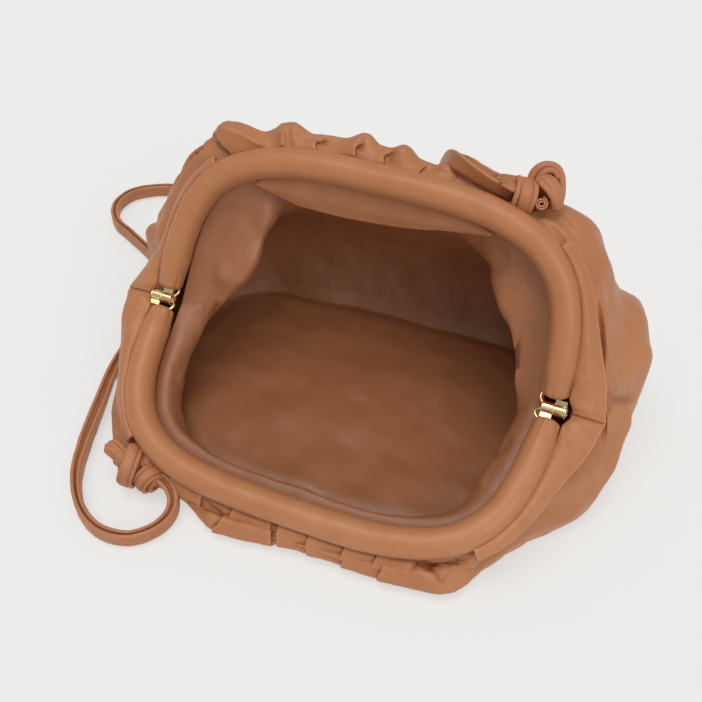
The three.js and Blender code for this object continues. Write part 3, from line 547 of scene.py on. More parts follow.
# Creases (negative) and ridges (positive) along short lines. Points are (u, v); width in mm; sharp: 1 tent, 2 round;
# the optional last entry is the strength of the painted shade along a crease.
LINES = [
    dict(at=[(0.318, 0.16), (0.310, 0.22), (0.300, 0.24)], rise=-2.4, width=1.5, sharp=1.4),
    dict(at=[(0.152, 0.05), (0.146, 0.23), (0.149, 0.38), (0.156, 0.54)], rise=-3.4, width=2.0, sharp=1.5, painted_shade=0.6),
    dict(at=[(0.151, 0.06), (0.144, 0.21), (0.134, 0.22), (0.122, 0.15)], rise=-3.0, width=1.9, sharp=1.5, painted_shade=0.5),
    dict(at=[(0.139, 0.40), (0.128, 0.34), (0.115, 0.28)], rise=2.0, width=3.6, sharp=2),
    dict(at=[(0.659, 0.31), (0.661, 0.16), (0.6635, 0.03)], rise=2.8, width=1.9, sharp=1.2),
    dict(at=[(0.6645, 0.26), (0.6655, 0.14), (0.6675, 0.05)], rise=-1.4, width=1.8, sharp=1.5),
    dict(at=[(0.623, 0.28), (0.635, 0.16), (0.649, 0.06)], rise=2.6, width=2.0, sharp=1.2),
    dict(at=[(0.6155, 0.26), (0.6170, 0.19), (0.6205, 0.11), (0.625, 0.05)], rise=-1.6, width=2.8, sharp=2, painted_shade=0.8),
    dict(at=[(0.7215, 0.26), (0.7225, 0.17), (0.721, 0.10)], rise=-1.8, width=2.6, sharp=2),
    dict(at=[(0.691, 0.19), (0.6905, 0.12)], rise=-1.6, width=2.4, sharp=2),
    dict(at=[(0.745, 0.20), (0.7445, 0.08)], rise=-1.2, width=2.0, sharp=2),
    # the right side: facets of the slumped corner
    dict(at=[(0.903, 0.40), (0.912, 0.50), (0.931, 0.50), (0.947, 0.52)], rise=-1.6, width=5.0, sharp=1.7),
    dict(at=[(0.962, 0.42), (0.957, 0.52), (0.947, 0.62), (0.936, 0.70), (0.926, 0.76)], rise=1.1, width=4.5, sharp=1.4),
    dict(at=[(0.9675, 0.40), (0.9655, 0.52), (0.963, 0.66), (0.963, 0.78)], rise=-3.2, width=3.0, sharp=1.5, painted_shade=0.7),
    dict(at=[(0.965, 0.66), (0.979, 0.65), (0.992, 0.66), (1.000, 0.67)], rise=1.6, width=3.6, sharp=1.3),
    dict(at=[(0.903, 0.64), (0.912, 0.73), (0.925, 0.82)], rise=1.2, width=5.0, sharp=1.5),
    dict(at=[(0.862, 0.05), (0.872, 0.09), (0.884, 0.10)], rise=2.0, width=2.6, sharp=1.6),
    dict(at=[(0.857, 0.10), (0.868, 0.17), (0.884, 0.20)], rise=-2.0, width=3.8, sharp=1.8),
    # the left side
    dict(at=[(0.566, 0.58), (0.575, 0.44), (0.590, 0.34), (0.612, 0.31)], rise=1.3, width=2.6, sharp=1.2),
    dict(at=[(0.545, 0.50), (0.538, 0.62), (0.530, 0.74)], rise=-2.0, width=3.2, sharp=1.6),
    dict(at=[(0.575, 0.66), (0.592, 0.76), (0.60, 0.86)], rise=-1.6, width=4.0, sharp=1.6),
    # behind, soft falls below the gathers
    dict(at=[(0.652, 0.36), (0.655, 0.52), (0.66, 0.68)], rise=-1.8, width=4.5, sharp=1.8),
    dict(at=[(0.690, 0.34), (0.694, 0.48), (0.701, 0.60)], rise=-1.5, width=4.0, sharp=1.8),
    dict(at=[(0.733, 0.32), (0.735, 0.46), (0.731, 0.62)], rise=-1.6, width=4.0, sharp=1.8),
    dict(at=[(0.770, 0.32), (0.768, 0.44), (0.774, 0.58)], rise=-1.3, width=3.6, sharp=1.8),
    dict(at=[(0.806, 0.34), (0.809, 0.50), (0.803, 0.66)], rise=-1.5, width=4.2, sharp=1.8),
    dict(at=[(0.846, 0.36), (0.852, 0.52), (0.86, 0.66)], rise=-1.6, width=4.4, sharp=1.8),
]


def columns(step, denser, marks, inner, spread_mm, extra):
    """Places round the mouth: step mm apart, closer in the stretches of denser, with extra ones by each mark."""
    fine = np.linspace(0, 1, 4001)
    density = np.full(len(fine), 1.0)
    for a, b, k in denser:
        density = np.maximum(density, 1 + (k - 1) * smooth(a - 0.01, a, fine) * smooth(b + 0.01, b, fine))
    run = np.concatenate([[0], np.cumsum((density[1:] + density[:-1]) / 2)]) / 4000 * ROUND / step
    n = int(run[-1])
    u = [np.interp((np.arange(n) + 0.5) / n * run[-1], run, fine)]
    for m in marks:
        x = np.linspace(-1, 1, extra)
        u.append(m + (np.sign(x) * np.abs(x) ** 1.7) * spread_mm / ROUND)
    u = np.sort(np.concatenate(u) % 1.0)
    keep = np.concatenate([[True], np.diff(u) > inner / ROUND])
    return u[keep]


def body_base(U, vs):
    """The plain outer leather at places U (rows, columns) and rows vs."""
    return np.array([catmull(body_ctrl(U[i] % 1.0), [v])[0] for i, v in enumerate(vs)])


def make_body():
    us = columns(1.9, [(0.605, 0.675, 2.4), (0.675, 0.83, 1.5), (0.12, 0.165, 2.0), (0.165, 0.33, 1.4), (0.85, 0.98, 1.35)],
                 [e["u0"] for e in EDGES], 0.12, 3.4, 15)
    vs = np.concatenate([np.linspace(0, 0.14, 16), np.linspace(0.15, 0.5, 34), np.linspace(0.515, 1, 30)])
    marks = np.array([e["u0"] for e in EDGES] + [0.10, 0.40, 0.60, 0.90])
    straight = np.array([e["u1"] - e["u0"] for e in EDGES] + [0.0] * 4)
    bend = np.array([e["bend"] for e in EDGES] + [0.0] * 4)
    order = np.argsort(marks)
    straight, bend = [np.interp(us, marks[order], q[order]) for q in (straight, bend)]
    U = np.array([us + edge_shift(us < 0.5, v, straight, bend) for v in vs])
    base = body_base(U, vs)
    base[..., 2] = np.maximum(base[..., 2], 0)
    n, along = finish_normals(base)
    centre = base[-1].mean(0)
    if ((base[40] - centre) * n[40]).sum() < 0:
        n = -n
    V = np.repeat(vs[:, None], len(us), 1)
    H, L = np.zeros_like(U), np.zeros_like(U)
    wear_and_highlight, painted_shade = np.zeros_like(U), np.zeros_like(U)
    for e in EDGES:
        x = e["way"] * (U - e["u0"] - edge_shift(e["u0"] < 0.5, V, e["u1"] - e["u0"], e["bend"])) * ROUND
        fade = smooth(0.0, 0.05, V) * (1 - smooth(e["v0"], e["v1"], V))
        lip = np.where(x < 0, np.exp(np.clip(x, -60, 0) / e["run"]), 0)
        near = np.abs(x) < 30
        drop = np.clip((x + 0.25) / 0.7, 0, 1)
        top = np.exp(np.clip(x, -60, 0) / e["run"]) * e["rise"]
        below = -0.28 * e["rise"] * np.exp(-np.clip(x, 0, 60) / 2.2)
        H += np.where(near, (top * (1 - drop) + below * drop), 0) * fade
        L += e["way"] * np.where(near, np.where(x < 0.05, np.exp(np.clip(x, -60, 0) / 1.3) * e["over"],
                                                -0.45 * e["over"] * np.exp(-np.clip(x, 0, 60) / 1.2)), 0) * fade
        # Painted highlight: a thin light line along each pleat lip.
        wear_and_highlight = np.maximum(wear_and_highlight, np.exp(-((x + 0.35) / 0.45) ** 2) * fade * 0.5)
        # Painted shade: a dark line just beyond each lip, under the overlap.
        painted_shade = np.maximum(painted_shade, np.exp(-((x - 0.45) / 0.5) ** 2) * fade * (0.45 if e["u0"] < 0.5 or e["u0"] > 0.66 else 0.8))
    for q in SWELLS:
        a, b = (U - q["u"]) / q["w"], (V - q["v"]) / q["vw"]
        H += q["rise"] * np.where(np.abs(a) < 1, np.cos(a * math.pi / 2) ** 2, 0) * np.where(np.abs(b) < 1, np.cos(b * math.pi / 2) ** 1.3, 0)
    for q in LINES:
        line = np.array([catmull(body_ctrl(np.array([a % 1.0])), [b])[0][0] for a, b in q["at"]])
        box_lo, box_hi = line.min(0) - 4 * q["width"], line.max(0) + 4 * q["width"]
        inside = ((base > box_lo) & (base < box_hi)).all(-1)
        if not inside.any():
            continue
        d, k = to_line(base[inside], line)
        taper = smooth(0, 0.16, k + 0.06) * smooth(0, 0.16, 1.06 - k)
        H[inside] += q["rise"] * np.exp(-((d / q["width"]) ** q["sharp"])) * taper
        # Painted shade along the narrow creases.
        if q["rise"] < -1.5 and (q["width"] < 3 or "painted_shade" in q):
            painted_shade[inside] = np.maximum(painted_shade[inside], np.exp(-((d / (q["width"] * 0.5)) ** 2)) * taper * q.get("painted_shade", 0.5))
        # Painted highlight along the narrow ridges.
        if q["rise"] > 1.2 and q["width"] < 3:
            wear_and_highlight[inside] = np.maximum(wear_and_highlight[inside], np.exp(-((d / (q["width"] * 0.4)) ** 2)) * taper * 0.2)
    quiet = smooth(0.0, 0.06, V) * (1 - smooth(0.86, 1.0, V))
    H += quiet * (0.55 * waves(base, 34, 5) + 0.22 * waves(base, 11, 9))
    P = base + n * H[..., None] + along * (L * 1.0)[..., None]
    P[..., 2] = np.maximum(P[..., 2], 0.0)
    foot = P[-1]
    centre = foot.mean(0)
    rings = [centre + (foot - centre) * f for f in (0.94, 0.7, 0.35)]
    outer = np.concatenate([P, np.array(rings)])
    # inner side, coarse: it is covered by the lining
    pick = list(range(0, len(vs) - 1, 3)) + [len(vs) - 1]
    inner = base[pick] + n[pick] * (np.minimum(H[pick], 0) - WALL)[..., None]
    inner[-1][:, 2] = WALL
    inner[..., 2] = np.maximum(inner[..., 2], WALL)
    rim = P[0] * 0.5 + inner[0] * 0.5
    inner_rings = [centre + (inner[-1] - centre) * f for f in (0.7, 0.35)]
    for r in inner_rings:
        r[:, 2] = WALL
    inner = np.concatenate([inner, np.array(inner_rings)])
    cols, ro, ri = len(us), len(outer), len(inner)
    verts = np.vstack([outer.reshape(-1, 3), inner.reshape(-1, 3), rim, [[centre[0], centre[1], 0]], [[centre[0], centre[1], WALL]]])
    ob = ro * cols
    rb = ob + ri * cols
    cb = rb + cols
    faces = grid_faces(ro, cols) + [tuple(reversed(f)) for f in grid_faces(ri, cols, ob)]
    for j in range(cols):
        k = (j + 1) % cols
        faces.append((j, k, rb + k, rb + j))
        faces.append((rb + j, rb + k, ob + k, ob + j))
        faces.append(((ro - 1) * cols + j, cb, (ro - 1) * cols + k))
        faces.append((ob + (ri - 1) * cols + k, cb + 1, ob + (ri - 1) * cols + j))
    pad = len(verts) - wear_and_highlight.size
    painted_shade_all = np.concatenate([np.clip(painted_shade, 0, 1).ravel(), np.zeros(pad)])
    wear_and_highlight_all = np.concatenate([np.clip(wear_and_highlight, 0, 1).ravel(), np.zeros(pad)])
    make("body_leather", verts, outward(verts, faces), OUTER, ("body",), wear_and_highlight_all, painted_shade_all)


# ---------------------------------------------------------------- inner leather
LINING_LINES = [
    dict(at=[(0.530, 0.22), (0.56, 0.38), (0.60, 0.42), (0.635, 0.40)], rise=2.6, width=6.0, sharp=1.6),
    dict(at=[(0.515, 0.30), (0.50, 0.42), (0.47, 0.52)], rise=-2.2, width=4.0, sharp=1.6),
    dict(at=[(0.44, 0.28), (0.43, 0.45), (0.42, 0.62)], rise=1.4, width=4.5, sharp=1.6),
    dict(at=[(0.61, 0.22), (0.60, 0.36), (0.575, 0.48)], rise=-1.8, width=5.0, sharp=1.8),
    dict(at=[(0.905, 0.20), (0.90, 0.36), (0.885, 0.50)], rise=2.0, width=5.5, sharp=1.6),
    dict(at=[(0.935, 0.22), (0.945, 0.38), (0.95, 0.50)], rise=-2.0, width=3.6, sharp=1.5),
    dict(at=[(0.865, 0.24), (0.86, 0.40), (0.85, 0.60)], rise=-2.2, width=6.0, sharp=1.8),
    dict(at=[(0.03, 0.22), (0.05, 0.40), (0.06, 0.56)], rise=-2.0, width=4.0, sharp=1.6),
    dict(at=[(0.07, 0.24), (0.08, 0.42)], rise=1.2, width=4.0, sharp=1.6),
]


def make_lining():
    n = 320
    us = np.arange(n) / n
    vs = np.linspace(0, 1, 64)
    base = catmull(lining_ctrl(us), vs)
    floor = WALL + GAP + LINING_WALL
    base[..., 2] = np.maximum(base[..., 2], floor)
    nrm, _ = finish_normals(base)
    centre = base[-1].mean(0)
    if ((centre - base[30]) * nrm[30]).sum() < 0:
        nrm = -nrm                       # towards the inside of the bag
    U, V = np.meshgrid(us, vs)
    H, painted_shade = np.zeros_like(U), np.zeros_like(U)
    for q in LINING_LINES:
        line = np.array([catmull(lining_ctrl(np.array([a % 1.0])), [b])[0][0] for a, b in q["at"]])
        d, k = to_line(base, line)
        H += q["rise"] * np.exp(-((d / q["width"]) ** q["sharp"])) * smooth(0, 0.2, k + 0.05) * smooth(0, 0.2, 1.05 - k)
    quiet = smooth(0.1, 0.3, V)
    H += quiet * (0.9 * waves(base, 46, 21) + 0.35 * waves(base, 15, 27))
    P = base + nrm * H[..., None]
    foot = P[-1].copy()
    centre = foot.mean(0)
    rings = []
    for f in np.linspace(0.965, 0.035, 30):
        r = centre + (foot - centre) * f
        lift = 1.5 + 1.3 * waves(r, 56, 31) + 0.35 * waves(r, 20, 37, 2)
        r[:, 2] = floor + np.maximum(lift, 0.0) * smooth(1.0, 0.9, f)
        rings.append(r)
    inside = np.concatenate([P, np.array(rings)])
    inside[..., 2] = np.maximum(inside[..., 2], floor)
    pick = list(range(0, len(vs), 6)) + [len(vs) - 1]
    behind = base[pick] - nrm[pick] * LINING_WALL
    behind[..., 2] = np.maximum(behind[..., 2], WALL + GAP)
    behind[-1][:, 2] = WALL + GAP
    b2 = [centre + (behind[-1] - centre) * f for f in (0.6, 0.2)]
    for r in b2:
        r[:, 2] = WALL + GAP
    behind = np.concatenate([behind, np.array(b2)])
    ri, rb_, c = len(inside), len(behind), n
    mid_lift = floor + 1.5
    verts = np.vstack([inside.reshape(-1, 3), behind.reshape(-1, 3), [[centre[0], centre[1], mid_lift]], [[centre[0], centre[1], WALL + GAP]]])
    ob = ri * c
    cb = ob + rb_ * c
    faces = grid_faces(ri, c) + [tuple(reversed(f)) for f in grid_faces(rb_, c, ob)]
    for j in range(c):
        k = (j + 1) % c
        faces.append((j, k, ob + k, ob + j))
        faces.append(((ri - 1) * c + j, cb, (ri - 1) * c + k))
        faces.append((ob + (rb_ - 1) * c + k, cb + 1, ob + (rb_ - 1) * c + j))
    low = 0.40 * (1 - smooth(5, 66, verts[:, 2]))              # painted shade: darker towards the bottom, in place of the shade inside the bag
    make("lining_leather", verts, outward(verts, faces), INNER, ("lining",), None, low)


# ---------------------------------------------------------------- padded tubes
def make_tube(name, front, node):
    cut = TUBE_CUT / HALF_LENGTH
    steps = 260
    x = np.linspace(0, 1, steps)
    ends = 0.5 - 0.5 * np.cos(np.clip(x, 0, 1) * math.pi)
    k = 0.35 * ends + 0.65 * x
    t = cut + (1 - 2 * cut) * k
    u = t / 2 if front else 1 - t / 2
    p = mouth(u)[0]
    tang = unit(np.gradient(p, axis=0))
    tilt = FRONT_TILT if front else BACK_TILT
    normal = np.array([0, math.sin(tilt) if front else -math.sin(tilt), math.cos(tilt)])
    side = unit(np.cross(tang, normal))
    up = np.cross(side, tang)
    near = np.minimum(k, 1 - k) * HALF_LENGTH                # mm from the end
    r = TUBE_R_END + (TUBE_R - 0.05 - TUBE_R_END) * smooth(0, 15, near)
    r = r * np.sqrt(np.clip(1 - (1 - np.clip(near / 2.2, 0, 1)) ** 2, 0.25, 1))
    m = 48
    q = np.arange(m) / m * 2 * math.pi
    ring = np.cos(q)[None, :, None] * side[:, None, :] + np.sin(q)[None, :, None] * up[:, None, :]
    where = p[:, None, :] + ring * r[:, None, None]
    pinch = np.exp(-near / 7.0)[:, None]
    rr = r[:, None] + 0.13 * waves(where, 60, 41) + 0.09 * waves(where, 14, 47) + pinch * (0.35 * np.sin(q * 9 + 1)[None, :] + 0.22 * np.sin(q * 14)[None, :])
    rr = np.maximum(rr, 1.5)
    v, f = sweep(p, ring * rr[..., None])
    ob = make(name, v, f, TUBE, (node,))
    return ob


# ---------------------------------------------------------------- flaps beside the hinges
def make_tab(name, front, right, node):
    steps, across, turn = 110, 26, 5
    t = np.linspace(-0.006 if front else 0.0012, TAB_END, steps)       # the front flaps run under the others at the hinges
    tt = t if right else 1 - t
    u = tt / 2 if front else 1 - tt / 2
    reach = tab_reach(t) if front or right else tab_slim(t)
    inner = TUBE_R - 0.75 + 2.4 * (1 - smooth(0.004, 0.022, t))
    rows = []
    k = np.linspace(0, 1, across)
    for i in range(steps):
        out = inner[i] + (reach[i] - inner[i]) * k
        span = max(reach[i] - inner[i], 0.1)
        full = smooth(0, 9, span)
        end = smooth(TAB_END - 0.03, TAB_END, t[i])
        down = -1.5 - (0.5 + 1.1 * full) * np.sin(math.pi * k ** 0.8) + (1.6 + 2.0 * full) * k ** 2 + 0.6 * end
        down = down + (1.5 * (1 - smooth(-0.004, 0.008, t[i])) if front else 0)
        rows.append(from_tube(np.full(across, u[i]), out, down, 0.03))
    top = np.array(rows)
    du = np.gradient(top, axis=0)
    dk = np.gradient(top, axis=1)
    n = unit(np.cross(du, dk))
    if n[steps // 2, across // 2] @ np.array([0, 0, 1.0]) < 0:
        n = -n
    hinge = np.array([HINGE_HALF if right else -HINGE_HALF, 0, HINGE_Z])
    rel = top - hinge
    dist = np.linalg.norm(rel, axis=-1)
    ang = np.arctan2(rel[..., 1], np.abs(rel[..., 0]))
    pinch = np.exp(-((dist - 8) / 9.0).clip(0) ** 1.2)
    wob = pinch * (0.55 * np.sin(ang * 11 + 0.7) + 0.3 * np.sin(ang * 19 + 2)) + 0.18 * waves(top, 20, 61 if right else 67) + 0.1 * waves(top, 8, 71)
    wob *= smooth(0, 0.2, k)[None, :] * smooth(0.0, 0.012, t)[:, None]
    top = top + n * wob[..., None]
    thick = 1.7
    loop, wear_and_highlight = [], []
    kk = np.linspace(0, math.pi, turn + 2)[1:-1]
    edge_mid = top[:, -1] - n[:, -1] * thick / 2
    edge_out = unit(dk[:, -1])
    edge = np.stack([edge_mid + n[:, -1] * (thick / 2) * math.cos(a) + edge_out * (thick / 2) * math.sin(a) for a in kk], 1)
    bottom = top - n * thick
    section = np.concatenate([top, edge, bottom[:, ::-1]], 1)
    m = section.shape[1]
    wear_and_highlight = np.zeros((steps, m))
    wear_and_highlight[:, across - 1:across + turn] = 0.85
    wear_and_highlight[-3:, :across] = np.array([0.2, 0.5, 0.8])[:, None]
    v = section.reshape(-1, 3)
    faces = grid_faces(steps, m)
    half = across + turn // 2
    for row, flip in ((0, False), (steps - 1, True)):
        base = row * m
        i, j = 0, m - 1
        while j - i > 1:
            f = (base + i, base + i + 1, base + j - 1, base + j) if j - i > 2 else (base + i, base + i + 1, base + j)
            faces.append(tuple(reversed(f)) if flip else f)
            i, j = i + 1, j - 1
    ob = make(name, v, outward(v, faces), OUTER, (node,), wear_and_highlight.ravel())
    return ob


# ---------------------------------------------------------------- facing under the raised tube
def make_facing():
    steps, across, thick = 120, 20, 1.2
    u = np.linspace(0.642, 0.84, steps)
    k = np.linspace(0, 1, across)
    drop = facing_drop(u)
    rows = []
    for i in range(steps):
        p = from_tube(np.full(across, u[i]), -5.9 - 1.9 * k, 3.6 - 0.3 * k)
        sag = np.stack([np.zeros(across), -1.5 * k - 1.4 * np.sin(math.pi * k), -drop[i] * k], -1)
        rows.append(p + sag)
    top = np.array(rows)
    n = unit(np.cross(np.gradient(top, axis=0), np.gradient(top, axis=1)))
    if n[steps // 2, across // 2, 1] > 0:
        n = -n
    top = top + n * (0.4 * waves(top, 22, 81) * smooth(0.1, 0.5, k)[None, :])[..., None]
    back = top - n * thick
    section = np.concatenate([top, back[:, ::-1]], 1)
    m = section.shape[1]
    v = section.reshape(-1, 3)
    faces = grid_faces(steps, m)
    for row, flip in ((0, False), (steps - 1, True)):
        base, i, j = row * m, 0, m - 1
        while j - i > 1:
            f = (base + i, base + i + 1, base + j - 1, base + j)
            faces.append(tuple(reversed(f)) if flip else f)
            i, j = i + 1, j - 1
    wear_and_highlight = np.zeros((steps, m))
    wear_and_highlight[:, across - 2:across + 2] = 0.6
    make("facing_leather", v, outward(v, faces), FACING_LEATHER, ("facing_back",), wear_and_highlight.ravel())


# ---------------------------------------------------------------- the strap
STRAP = table(["x", "y", "z", "edge", "open"], [
    [-70.0, -71.1, 11.5, 1, 0.8], [-61.5, -72.3, 9.0, 1, 0.7], [-55.5, -77.2, 6.2, 1, 0.5], [-53.1, -84.7, 4.8, 1, 0.3],
    [-55.3, -93.5, 4.6, 1, 0.1], [-63, -101.9, 4.6, 1, 0], [-71, -104.5, 4.6, 1, 0.1], [-79, -104.2, 4.6, 1, 0.1],
    [-87, -101.2, 4.6, 1, 0], [-94.5, -95.8, 4.6, 1, 0], [-101, -88.6, 4.6, 1, 0.1], [-107, -78.6, 4.6, 0.97, 0.3],
    [-112, -65.2, 4.5, 0.93, 0.8], [-116, -52.6, 4.4, 0.95, 1.1], [-120.5, -37, 4.4, 1.05, 1.2], [-126, -18, 4.5, 1.1, 0.8],
    [-130, 8, 4.6, 1.05, 0.3], [-136, 44, 4.6, 1, 0], [-150, 68.5, 4.7, 1, 0], [-177, 85, 4.7, 1, 0.1],
    [-192, 93, 4.7, 1, 0.2], [-201, 107, 4.7, 1, 0.2], [-199, 122, 4.7, 1, 0.1], [-186, 133, 4.7, 1, 0],
    [-160, 140, 4.7, 1, 0], [-120, 141, 4.6, 0.9, 0], [-80, 139, 4.4, 0.7, 0], [-45, 132, 4, 0.4, 0], [-20, 125, 5.5, 0, 0],
    [-7, 119, 14, 0, 0], [-1, 115.5, 34, 0, 0], [3, 111.5, 56, 0, 0], [7, 103, 78, 0, 0.1], [12, 90, 98, 0, 0.2],
    [17, 78, 111, 0.1, 0.4], [21.5, 69, 119.8, 0.3, 0.7], [26.5, 61, 125.4, 0.55, 1.0], [33.5, 55.8, 127, 0.8, 1.2],
    [43.5, 53.0, 124.9, 0.95, 1.3], [56, 51.9, 122.3, 1.0, 1.1],
])
STRAP_W, STRAP_T = 8.5, 4.6


def strap_route(steps):
    pts = np.array([[r["x"], r["y"], r["z"]] for r in STRAP], float)
    return catmull(pts, np.linspace(0, 1, steps))


def band_section(hw, ht, groove, opened, m_side=9, m_cap=6):
    """Outline of a strip folded double, seen from its end: (w, n). The open side, with the groove, is at +w."""
    cap = np.linspace(0, math.pi / 2, m_cap)
    pts = [(hw - groove, 0.0), (hw - groove * 0.45, ht * 0.22)]
    a = ht * 0.5                                  # each leaf's rounded lip
    for q in np.linspace(math.pi, 0, m_cap)[:-1]:
        pts.append((hw - a * 0.8 + a * 0.8 * math.sin(q), ht * 0.5 - a * math.cos(math.pi - q) * -1.0 * 0.98))
    lip = pts[2:]
    pts = pts[:2] + sorted(lip, key=lambda z: z[1])
    for w in np.linspace(hw - a * 1.1, -hw + ht * 0.9, m_side):
        pts.append((w, ht))
    for q in cap[1:]:
        pts.append((-hw + ht * 0.9 - ht * 0.9 * math.sin(q), ht * math.cos(q)))
    half = np.array(pts)
    half = half[np.concatenate([[True], np.abs(np.diff(half, axis=0)).sum(1) > 1e-6])]
    share = np.clip((half[:, 0] + hw) / (2 * hw), 0, 1) ** 1.6
    half[:, 1] += opened * share * np.where(half[:, 1] > 1e-6, 1, 0)
    other = half[::-1][1:-1] * np.array([1, -1]) if abs(half[-1, 1]) < 1e-6 else half[::-1][:-1] * np.array([1, -1])
    return np.vstack([half, other])


def make_strap():
    n = 620
    p = strap_route(n)
    tang = unit(np.gradient(p, axis=0))
    x = np.linspace(0, len(STRAP) - 1, n)
    idx = np.arange(len(STRAP))
    edge = np.interp(x, idx, [r["edge"] for r in STRAP])
    opened = np.interp(x, idx, [r["open"] for r in STRAP])
    climb = smooth(0.2, 0.9, np.abs(tang[:, 2])) * 1.5 + 0.001
    up = unit(np.stack([np.zeros(n), climb, np.ones(n)], -1))
    flat = unit(np.cross(tang, up))
    raised = np.cross(flat, tang)                                 # up, square to the strap
    W = raised * np.sin(edge * math.pi / 2)[:, None] - flat * np.cos(edge * math.pi / 2)[:, None]
    start = int(np.searchsorted(x, 4.2))                          # leaves the low knot without a twist
    for i in range(start - 1, -1, -1):
        W[i] = unit(W[i + 1] - (W[i + 1] @ tang[i]) * tang[i])
    bend = int(np.searchsorted(x, 36.2))                          # keeps its twist over the bend behind
    carried = W.copy()
    for i in range(bend - 1, 0, -1):
        carried[i] = unit(carried[i + 1] - (carried[i + 1] @ tang[i]) * tang[i])
    share = (smooth(27.5, 31.0, x) * (np.arange(n) < bend))[:, None]
    W = unit(W * (1 - share) + carried * share)
    for _ in range(30):                                           # even out the twist
        W[1:-1] = unit(W[:-2] + W[1:-1] * 2 + W[2:])
        W = unit(W - (W * tang).sum(-1, keepdims=True) * tang)
    N = np.cross(tang, W)
    secs, shade = [], []
    for i in range(n):
        s = band_section(STRAP_W / 2 - 0.1, STRAP_T / 2 - 0.1, 1.7, opened[i])
        secs.append(s[:, :1] * W[i] + s[:, 1:] * N[i])
        shade.append(s)
    secs, shade = np.array(secs), np.array(shade)
    where = p[:, None, :] + secs
    secs = secs + unit(secs) * (0.12 * waves(where, 9, 91) + 0.1 * waves(where, 30, 93))[..., None]
    secs[..., 2] = np.maximum(p[:, None, 2] + secs[..., 2], 0.15) - p[:, None, 2]
    v, f = sweep(p, secs)
    # Painted shade along the groove down the strap's middle; lighter colour along its rounded lips.
    groove = np.exp(-(shade[..., 1] / 0.5) ** 2) * (shade[..., 0] > 0)
    lip = np.exp(-((shade[..., 0] - shade[..., 0].max()) / 0.7) ** 2) * (np.abs(shade[..., 1]) > 0.5) * 0.35
    painted_shade = np.concatenate([(groove * 0.9).ravel(), [0, 0]])
    wear_and_highlight = np.concatenate([lip.ravel(), [0, 0]])
    ob = make("strap_leather_band", v, f, STRAP_LEATHER, ("strap",), wear_and_highlight, painted_shade)
    length = float(np.linalg.norm(np.diff(p, axis=0), axis=1).sum()) / 1000
    return ob, p, length


# ---------------------------------------------------------------- knots
def ribbon(points, outward_dirs, width, thick, grooves=(), m=48, taper=0.0):
    """A strip of leather along points, its face looking along outward_dirs; grooves: (place across, depth)."""
    p = np.asarray(points, float)
    n = len(p)
    tang = unit(np.gradient(p, axis=0))
    N = unit(outward_dirs - (outward_dirs * tang).sum(-1, keepdims=True) * tang)
    B = np.cross(tang, N)
    q = np.arange(m) / m * 2 * math.pi
    cx = np.sign(np.cos(q)) * np.abs(np.cos(q)) ** 0.62 * width / 2
    cy = np.sign(np.sin(q)) * np.abs(np.sin(q)) ** 0.75 * thick / 2
    dent = np.zeros(m)
    for place, depth in grooves:
        dent = np.maximum(dent, np.exp(-((cx - place * width) / 0.42) ** 2) * (cy > 0) * depth)
    end = np.linspace(0, 1, n)
    size = 1 - taper * (np.abs(end - 0.5) * 2) ** 6
    sec = (cx[None, :, None] * B[:, None, :] + (cy - dent)[None, :, None] * N[:, None, :]) * size[:, None, None]
    where = p[:, None, :] + sec
    sec = sec + N[:, None, :] * (0.14 * waves(where, 7, 101))[..., None]
    v, f = sweep(p, sec)
    # Painted shade in the grooves; lighter colour along both edges.
    painted_shade = np.concatenate([np.tile(np.clip(dent / 0.9, 0, 1) * 0.85, n), [0, 0]])
    wear_and_highlight = np.concatenate([np.tile((np.abs(cx) > width * 0.43) * 0.25, n), [0, 0]])
    return v, f, wear_and_highlight, painted_shade


def drawn(points, middle, centre, scale):
    """Points drawn as seen from the camera (across, down, towards it in mm), scale units to the mm, about middle."""
    q = np.asarray(points, float)
    return (np.asarray(centre, float) + np.outer((q[:, 0] - middle[0]) / scale, EYE_RIGHT)
            - np.outer((q[:, 1] - middle[1]) / scale, EYE_UP) + np.outer(q[:, 2], TO_EYE))


def loop_through(ctrl, n):
    """Closed smooth curve through ctrl."""
    m, out = len(ctrl), []
    for t in np.linspace(0, m, n):
        i, w = int(math.floor(t)) % m, t - math.floor(t)
        p0, p1, p2, p3 = ctrl[i - 1], ctrl[i], ctrl[(i + 1) % m], ctrl[(i + 2) % m]
        out.append(0.5 * (2 * p1 + (p2 - p0) * w + (2 * p0 - 5 * p1 + 4 * p2 - p3) * w * w + (3 * p1 - p0 - 3 * p2 + p3) * w**3))
    return np.array(out)


def join_parts(parts):
    vs, fs, ws, ds, base = [], [], [], [], 0
    for v, f, w, d in parts:
        vs.append(v)
        fs += [tuple(i + base for i in q) for q in f]
        ws.append(w)
        ds.append(d)
        base += len(v)
    return np.vstack(vs), fs, np.concatenate(ws), np.concatenate(ds)


